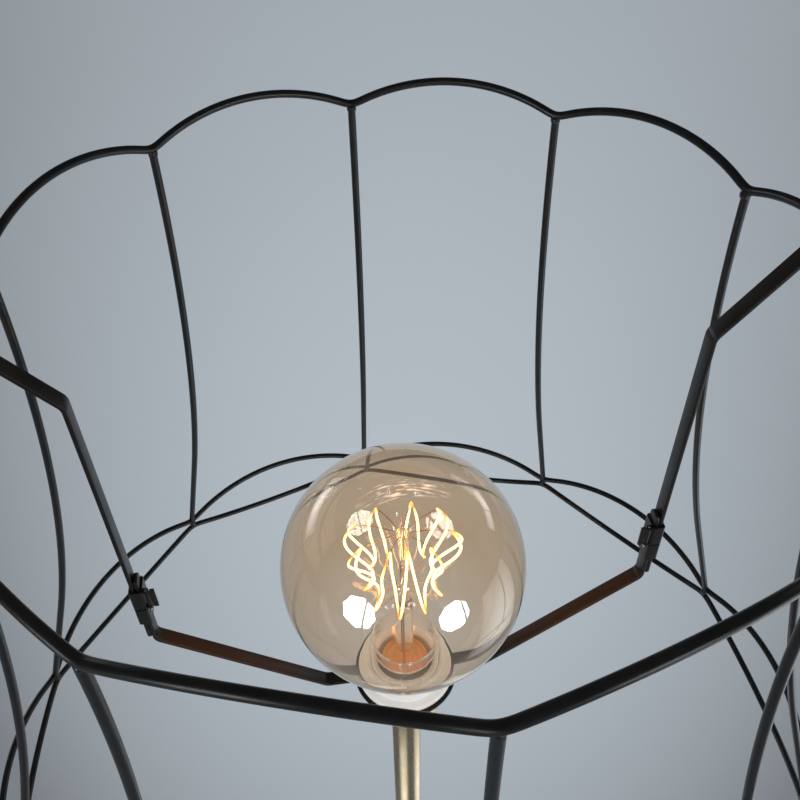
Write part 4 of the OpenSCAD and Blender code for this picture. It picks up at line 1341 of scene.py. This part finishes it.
@dataclass
class GlobeBulb:
    """Globe bulb: tinted envelope, screw cap, glass stem, wires and a wound filament."""

    radius: float = 62.5
    glass: float = 0.8
    neck: float = 18.0
    blend: float = 12.0
    foot: float = 12.3
    foot_height: float = 1239.4
    taper: Point = (1245.9, 1253.9)
    cap_radius: float = 13.2
    cap_top: float = 1244.4
    cap_foot: float = 1222.4
    thread_pitch: float = 3.6
    thread_deep: float = 0.9
    thread_lead: float = 0.8
    thread_steps: int = 12
    cap_skirt: float = 6.0
    cap_edge: float = 0.3
    lining: float = 0.4
    stem_radius: float = 5.0
    stem_wall: float = 1.0
    tube_top: float = 1297.9
    press: float = 1301.9
    rod: float = 1.8
    button: float = 3.2
    button_height: float = 1358.9
    hub_height: float = 1312.9
    hairpins: int = 9
    cage_top_radius: float = 24.0
    cage_foot_radius: float = 21.0
    cage_top: float = 28.0
    cage_foot: float = 17.0
    sway: float = 6.5
    lean_front: float = 14.0
    lean_behind: float = 6.0
    turned: float = 6.0
    hairpin_round: float = 0.985
    strand_radius: float = 0.62
    strand_steps: int = 28
    strand_sides: int = 10
    support_radius: float = 0.25
    support_steps: int = 12
    support_sides: int = 8
    hook_inset: float = 0.4

    def build(self) -> None:
        """Builds the envelope, the cap, the stem and what it carries."""
        self.build_globe()
        self.build_cap()
        self.build_stem()
        self.build_filament()
        self.build_supports()
        copied("cap_contact", "bulb_tip_contact", Body.BULB, CAP_BRASS, 0.3)
        copied("cap_insulator", "bulb_black_insulator", Body.BULB, CAP_BLACK, 0.4)
        dress("stem_leads", LEAD_WIRE)

    def wall_profile(self, inset: float) -> list[Point]:
        """One face of the envelope's wall, from the foot up to the pole.

        Args:
            inset: Depth under the outer face.

        Returns:
            The face's points.
        """
        r, neck, blend = self.radius - inset, self.neck - inset, self.blend + inset
        middle = self.neck + self.blend
        reach = self.radius + self.blend
        blend_height = HEIGHTS.globe - math.sqrt(reach**2 - middle**2)
        tilt = math.degrees(math.atan2(HEIGHTS.globe - blend_height, middle))
        foot = rounded([(self.foot - inset, self.foot_height), (self.foot - inset, self.taper[0], 5.0),
                        (neck, self.taper[1], 5.0), (neck, blend_height)], closed=False, steps=8)
        shoulder = arc((middle, blend_height), blend, 180.0, 180.0 - tilt, 16)
        ball = arc((0.0, HEIGHTS.globe), r, -tilt, 90.0, 96)
        return foot + shoulder[1:] + ball[1:-1] + [(0.0, HEIGHTS.globe + r)]

    def build_globe(self) -> None:
        """Turns the envelope as one closed wall."""
        outer = self.wall_profile(0.0)
        inner = self.wall_profile(self.glass)
        globe = lathe("tinted_globe", outer + inner[::-1], 160, 80.0)
        settle(globe, Body.BULB, GLOBE_GLASS, "bulb_globe")

    def build_cap(self) -> None:
        """Turns the screw cap with its rolled thread, and the lining that shows inside the neck."""
        bore = self.foot + 0.1
        core = self.cap_radius - self.thread_deep
        skirt, edge, steps = self.cap_top - self.cap_skirt, self.cap_edge, self.thread_steps
        rows = int((skirt - self.cap_foot - self.thread_lead) / self.thread_pitch)
        outline = [(bore, self.cap_foot + 0.6), (core, self.cap_foot + 0.2)]
        for row in range(rows):
            for k in range(steps + 1):
                share = k / steps
                z = self.cap_foot + self.thread_lead + (row + share) * self.thread_pitch
                outline.append((core + self.thread_deep * (0.5 - 0.5 * math.cos(2 * math.pi * share)), z))
        outline += [(core, skirt), (self.cap_radius - edge, skirt + 0.5), (self.cap_radius, skirt + 1.0),
                    (self.cap_radius, self.cap_top - edge), (self.cap_radius - edge, self.cap_top),
                    (bore, self.cap_top)]
        settle(lathe("threaded_bulb_cap", outline), Body.BULB, CAP_BRASS, "bulb_cap")
        low, high, r, t = self.cap_foot + 2.3, self.foot_height - 0.3, self.foot - 0.1, self.lining
        lining = rounded([(0.0, low), (r, low, 4.0), (r, high), (r - t, high), (r - t, low + t, 4.0 - t),
                          (0.0, low + t)], steps=8)
        settle(lathe("cap_brass_lining", lining), Body.BULB, CAP_LINING)

    def build_stem(self) -> None:
        """Turns the glass stem: a flare, a tube closed at its press, a rod and two buttons."""
        wide, low = self.foot - self.glass, self.foot_height
        r, bore = self.stem_radius, self.stem_radius - self.stem_wall
        outer = rounded([(wide, low), (wide, low + 1.8, 1.0), (r, low + 15.5, 12.0), (r, self.tube_top)],
                        closed=False, steps=8)
        dome = arc((0.0, self.tube_top), r, 0.0, math.degrees(math.acos(self.rod / r)), 10)
        hub = self.bead(self.hub_height)
        top = arc((0.0, self.button_height), self.button, -self.bead_angle(), 90.0, 14)
        inner = [(0.0, self.tube_top - 1.0), (bore * 0.75, self.tube_top - 2.0), (bore, self.tube_top - 4.5),
                 (bore, low + 15.5), (bore + 2.2, low + 8.0), (wide - 1.6, low + 1.8), (wide - 1.6, low)]
        outline = outer + dome[1:] + hub + top[:-1] + [(0.0, self.button_height + self.button)] + inner
        stem = lathe("glass_stem", outline, 64, 70.0)
        settle(stem, Body.BULB, STEM_GLASS, "bulb_stem")

    def bead_angle(self) -> float:
        """The angle, in degrees, at which a button meets its rod."""
        return math.degrees(math.acos(self.rod / self.button))

    def bead(self, height: float) -> list[Point]:
        """The profile of a button on the rod at a height."""
        return arc((0.0, height), self.button, -self.bead_angle(), self.bead_angle(), 14)

    def cage(self, t: FormTree, sizes: dict[str, Field], step: Field, inside: object) -> tuple[Field, Field]:
        """Works out a point of the filament's cage.

        Args:
            t: The tree.
            sizes: The cage's inputs by name.
            step: The strand's number, with its share.
            inside: How far inside the cage the point lies.

        Returns:
            The point, and its share of the way up.
        """
        full = sizes["Hairpin roundness"].op("ARCSINE")
        lift = (sizes["Hairpin roundness"] * (step * math.pi).op("COSINE")).op("ARCSINE")
        share = 0.5 - lift / full / 2
        turn = sizes["First angle"] + step * sizes["Strand angle"]
        sine, cosine = turn.op("SINE"), turn.op("COSINE")
        behind, front = sizes["Lean behind"], sizes["Lean in front"]
        lean = (behind + front + (behind - front) * sine) / 2 * sine * sine
        sway = sizes["Sway"] * cosine * cosine * (share * (2 * math.pi)).op("SINE")
        flare = sizes["Top radius"] - sizes["Foot radius"] - lean
        reach = sizes["Foot radius"] + flare * share - sway - inside
        z = sizes["Foot height"] + (sizes["Top height"] - sizes["Foot height"]) * share
        return t.vector(reach * cosine, reach * sine, z), share

    def cage_sizes(self) -> dict[str, float]:
        """The values of the cage's inputs."""
        strands = 2 * self.hairpins
        step = 2 * math.pi / (strands + 1)
        return {
            "Hairpin roundness": self.hairpin_round, "Sway": self.sway * MM,
            "Lean behind": self.lean_behind * MM, "Lean in front": self.lean_front * MM,
            "Top radius": self.cage_top_radius * MM, "Foot radius": self.cage_foot_radius * MM,
            "First angle": math.pi / 2 + math.radians(self.turned) + step / 2, "Strand angle": step,
            "Top height": (HEIGHTS.globe + self.cage_top) * MM,
            "Foot height": (HEIGHTS.globe - self.cage_foot) * MM,
        }

    def build_filament(self) -> None:
        """Winds the filament up and down its cage, thin at the turns and thick between them."""
        t = FormTree("WoundFilament")
        strand = {"Strands": 2.0 * self.hairpins, "Strand radius": self.strand_radius * MM}
        values = strand | self.cage_sizes()
        sizes = t.sizes(values)
        strands, radius = sizes["Strands"], sizes["Strand radius"]
        route = t.route(self.strand_steps * 2 * self.hairpins + 1)
        step = t.get("GeometryNodeSplineParameter", out="Factor") * strands
        place, share = self.cage(t, sizes, step, 0.0)
        off_middle = (share * 2 - 1).op("ABSOLUTE")
        heat = (1 - off_middle**6).op("MAXIMUM", 0.0)
        kept = t.kept(t.placed(route, place), "warmth", heat)
        thick = radius * (0.5 + heat * 0.5)
        sized = t.get("GeometryNodeSetCurveRadius", {"Curve": kept, "Radius": thick})
        section = t.get("GeometryNodeCurvePrimitiveCircle", {"Resolution": self.strand_sides, "Radius": 1.0})
        mesh = t.add("GeometryNodeCurveToMesh", {"Curve": sized, "Profile Curve": section, "Fill Caps": True})
        t.feed(mesh.inputs["Scale"], t.get("GeometryNodeInputRadius"))
        t.close(Field(t, mesh.outputs[0]))
        settle(t.grow("glowing_filament", COIL, values), Body.BULB, COIL, "filament")

    def build_supports(self) -> None:
        """Fans fine wires out from each button to the filament's turns."""
        for name, node, height, wires, first_turn, bow in (
            ("upper_filament_supports", "upper_supports", self.button_height, self.hairpins, 1.0, 1.2),
            ("lower_filament_supports", "lower_supports", self.hub_height, self.hairpins - 1, 2.0, -1.0),
        ):
            values = {
                "Wires": wires, "First turn": first_turn, "Button height": height * MM,
                "Start radius": self.button * 0.9 * MM, "Hook inset": self.hook_inset * MM,
                "Wire radius": self.support_radius * MM, "Droop": bow * MM,
            } | self.cage_sizes()
            settle(self.fan_tree(values).grow(name, SUPPORT_WIRE, values), Body.BULB, SUPPORT_WIRE, node)

    def fan_tree(self, values: dict[str, float | int]) -> FormTree:
        """Writes the tree of a fan of support wires.

        Args:
            values: The fan's sizes and the cage's, which name the inputs.

        Returns:
            The tree, with its sizes as inputs.
        """
        t = FormTree("FilamentSupports")
        sizes = t.sizes(values)
        count, first, button_height, start, inside, wire, droop = list(sizes.values())[:7]
        spread = t.kept(t.spots(count), "turn", t.get("GeometryNodeInputIndex") * 2 + first)
        wires = t.get("GeometryNodeRealizeInstances", {0: t.copies(spread, t.route(self.support_steps))})
        turn = t.get("GeometryNodeInputNamedAttribute", {"Name": "turn"}, out="Attribute", data_type="FLOAT")
        hook, _ = self.cage(t, sizes, turn, inside)
        share = t.get("GeometryNodeSplineParameter", out="Factor")
        x, y, z = t.split(hook)
        length = (x * x + y * y + (z - button_height) * (z - button_height)).op("SQRT")
        walked = share + (1 - share) * start / length
        sag = droop * (share * math.pi).op("SINE")
        place = t.vector(x * walked, y * walked, button_height + (z - button_height) * walked + sag)
        t.close(t.sweep(t.kept(t.placed(wires, place), "warmth", share**2.0), wire, self.support_sides))
        return t


# Studio


@dataclass
class Panel:
    """A lit panel round the bulb: where it stands, its size and how bright it is.

    It has one brightness each for what it lights, for satin surfaces, for sharp mirrors and for clear glass.
    A soft panel fades to its edges, and an upright one faces the post in place of the bulb.
    """

    name: str
    azimuth: float
    elevation: float
    wide: float
    high: float
    power: float
    satin: float
    mirrored: float
    through: float
    distance: float = 2.0
    sides: int = 8
    turn: float = 0.0
    soft: bool = False
    upright: bool = False
    tint: Colour = colour(1.0, 0.985, 0.99)
    clear_tint: Colour = colour(0.45, 0.66, 1.0)


@dataclass
class Studio:
    """Plain pale floor, softboxes and panels, soft surrounding light and the camera."""

    camera_place: tuple[float, float, float] = (-0.03390, -0.26472, 1.69908)
    camera_right: tuple[float, float, float] = (0.990549, -0.135461, -0.021511)
    camera_up: tuple[float, float, float] = (0.107227, 0.667008, 0.737294)
    camera_ahead: tuple[float, float, float] = (0.085526, 0.732632, -0.675230)
    lens: float = 39.13
    sensor: float = 36.0
    clip: Span = (0.01, 100.0)
    shift: Point = (0.0101, -0.0132)
    floor_colour: Colour = colour(0.183, 0.20, 0.213)
    floor_glow: Colour = colour(0.896, 1.0, 1.11)
    floor_lit: float = 0.23
    floor_reach: float = 9.0
    floor_level: float = 0.502
    floor_up: tuple[float, float, float] = (-0.107, -0.345, 0.435)
    floor_across: tuple[float, float, float] = (0.05, -0.75, 0.795)
    floor_range: Span = (0.22, 0.53)
    air: Colour = colour(1.09, 1.10, 1.12)
    air_mirrored: float = 0.04
    panels: tuple[Panel, ...] = (
        Panel("left_softbox", -44.0, 4.5, 0.95, 0.95, 1.5, 4.0, 30.0, 170.0, turn=4.0),
        Panel("right_softbox", 32.5, -2.4, 0.87, 0.87, 1.5, 4.0, 30.0, 170.0, turn=18.0),
        Panel("left_rear_panel", -137.0, 3.0, 2.8, 0.8, 1.5, 3.0, 3.6, 0.3, distance=4.0, sides=4, soft=True),
        Panel("right_rear_panel", 115.0, 7.0, 2.2, 0.6, 1.5, 3.0, 3.6, 0.3, distance=4.0, sides=4, soft=True),
        Panel("right_reflector", 74.0, -30.0, 0.90, 1.4, 0.8, 1.2, 1.9, 0.4, distance=1.45, sides=4,
              soft=True, tint=colour(0.90, 1.0, 1.0)),
        Panel("left_low_panel", -34.0, -75.9, 0.12, 0.30, 0.4, 2.1, 0.4, 0.4, distance=0.4516, sides=4,
              soft=True, upright=True),
        Panel("right_low_panel", 80.0, -75.9, 0.15, 0.30, 0.4, 1.7, 0.4, 0.4, distance=0.4516, sides=4,
              soft=True, upright=True),
    )

    def build(self) -> None:
        """Builds the camera, the floor, the lights and the world."""
        self.build_camera()
        self.build_floor()
        for panel in self.panels:
            self.build_panel(panel)
        self.build_world()
        bpy.context.scene.view_settings.view_transform = "Standard"

    def build_camera(self) -> None:
        """Sets the camera at the photograph's viewpoint."""
        data = bpy.data.cameras.new("view")
        data.sensor_width = self.sensor
        data.lens = self.lens
        data.shift_x, data.shift_y = self.shift
        data.clip_start, data.clip_end = self.clip
        camera = bpy.data.objects.new("view", data)
        right, up, ahead = (Vector(v) for v in (self.camera_right, self.camera_up, self.camera_ahead))
        turn = Matrix((right, up, -ahead)).transposed().to_4x4()
        camera.matrix_world = Matrix.Translation(self.camera_place) @ turn
        bpy.context.scene.collection.objects.link(camera)
        bpy.context.scene.camera = camera

    def build_floor(self) -> None:
        """Lays the pale floor, with a painted pool of light that falls off round the place behind the lamp.
        """
        bm = bmesh.new()
        bmesh.ops.create_circle(bm, cap_ends=True, segments=96, radius=self.floor_reach / MM)
        floor = new_piece("studio_floor", bm)
        material = bpy.data.materials.new("studio_floor_paint")
        shader = Shader(material)
        away = [value - start for value, start in zip(shader.split(shader.place), self.camera_place)]
        ahead, right, up = (
            away[0] * axis[0] + away[1] * axis[1] + away[2] * axis[2]
            for axis in (self.camera_ahead, self.camera_right, self.camera_up)
        )
        depth = ahead.op("MAXIMUM", 0.5)
        u, v = right / depth, up / depth
        rise, bow = self.floor_up, self.floor_across
        # Painted light: the floor's glow is brightest behind the lamp and falls off towards the edges of the
        # view.
        level = (self.floor_level + v * (v * (v * rise[2] + rise[1]) + rise[0])
                 + u * (u * (v * bow[2] + bow[1]) + bow[0]))
        shown = level.op("MINIMUM", self.floor_range[1]).op("MAXIMUM", self.floor_range[0]) - self.floor_lit
        paper = shader.noise(900.0, 2.0)
        shader.set(
            Base_Color=self.floor_colour,
            Roughness=0.9,
            Specular_IOR_Level=0.1,
            Emission_Color=self.floor_glow,
            Emission_Strength=shown * shader.spread(paper, 0.99, 1.01) * self.seen(shader),
        )
        material.cycles.emission_sampling = "NONE"
        floor.data.materials.append(material)

    @staticmethod
    def seen(tree: Tree) -> Field:
        """One for rays to the camera, a mirror or glass, and nought for the light that a surface sheds."""
        camera, glossy, through = tree.rays("Camera", "Glossy", "Transmission")
        return camera.op("MAXIMUM", glossy).op("MAXIMUM", through)

    def build_panel(self, panel: Panel) -> None:
        """Hangs a panel that faces the bulb or the post."""
        az, el = math.radians(panel.azimuth), math.radians(panel.elevation)
        away = Vector((math.sin(az) * math.cos(el), -math.cos(az) * math.cos(el), math.sin(el)))
        at = Vector((0.0, 0.0, HEIGHTS.globe * MM)) + away * panel.distance
        bm = bmesh.new()
        reach = 0.5 / math.cos(math.pi / panel.sides)
        bmesh.ops.create_circle(bm, cap_ends=True, segments=panel.sides, radius=reach)
        first = math.radians(panel.turn) + (math.pi / 4 if panel.sides == 4 else 0.0)
        bmesh.ops.rotate(bm, verts=bm.verts, cent=(0, 0, 0), matrix=Matrix.Rotation(first, 3, "Z"))
        size = Matrix.Diagonal((panel.wide, panel.high, 1.0, 1.0))
        inward = Vector((-away.x, -away.y, 0.0 if panel.upright else -away.z))
        facing = inward.to_track_quat("Z", "Y").to_matrix().to_4x4()
        bmesh.ops.transform(bm, matrix=Matrix.Scale(1 / MM, 4) @ Matrix.Translation(at) @ facing @ size,
                            verts=bm.verts)
        lamp = new_piece(panel.name, bm)
        material = bpy.data.materials.new(panel.name + "_cloth")
        shader = Shader(material)
        glossy, sharp, through = shader.rays("Glossy", "Singular", "Transmission")
        soft = glossy * (panel.satin - panel.power) + panel.power
        clear = through * (panel.through - panel.mirrored) + panel.mirrored
        shader.set(
            Base_Color=colour(0.8, 0.8, 0.8),
            Emission_Color=shader.blend(through, panel.tint, panel.clear_tint),
            Emission_Strength=(soft + sharp * (clear - soft)) * self.fade(shader, panel, at, facing),
        )
        material.cycles.emission_sampling = "NONE"
        lamp.data.materials.append(material)
        lamp.visible_camera = False

    @staticmethod
    def fade(shader: Shader, panel: Panel, at: Vector, facing: Matrix) -> object:
        """How much of its light a panel gives at a place: all of it, or less towards a soft panel's edges."""
        if not panel.soft:
            return 1.0
        place = shader.split(shader.place)
        share = 1.0
        for axis, reach in ((facing.col[0], panel.wide / 2), (facing.col[1], panel.high / 2)):
            off = sum((place[i] - at[i]) * (axis[i] / reach) for i in range(3))
            share = share * (1 - off * off)
        return share.op("MAXIMUM", 0.0)

    def build_world(self) -> None:
        """Sets the soft light from all round, which mirrors darker."""
        world = bpy.data.worlds.new("studio_air")
        bpy.context.scene.world = world
        world.use_nodes = True
        world.node_tree.nodes.clear()
        tree = Tree(world.node_tree)
        (glossy,) = tree.rays("Glossy")
        sky = tree.add("ShaderNodeBackground",
                       {"Color": self.air, "Strength": glossy * (self.air_mirrored - 1.0) + 1.0})
        tree.add("ShaderNodeOutputWorld", {"Surface": sky.outputs[0]})
        world.cycles.sampling_method = "NONE"


def corners(bounds: tuple[Vector, Vector]) -> list[list[float]]:
    """A box's lowest and highest corner as plain lists."""
    return [list(bounds[0]), list(bounds[1])]


def main() -> None:
    """Builds every sub-assembly in order, then the studio."""
    logging.basicConfig(level=logging.INFO, format="%(name)s %(message)s")
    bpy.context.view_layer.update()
    parts: list[tuple[str, Callable[[], None]]] = [
        ("base", Base().build),
        ("post", Post().build),
        ("lampholder", Lampholder().build),
        ("shade carrier", ShadeCarrier().build),
        ("shade frame", ShadeFrame().build),
        ("globe bulb", GlobeBulb().build),
        ("studio", Studio().build),
    ]
    for name, build in parts:
        LOG.info("building the %s", name)
        build()
    bpy.context.view_layer.update()


if __name__ == "__main__":
    main()
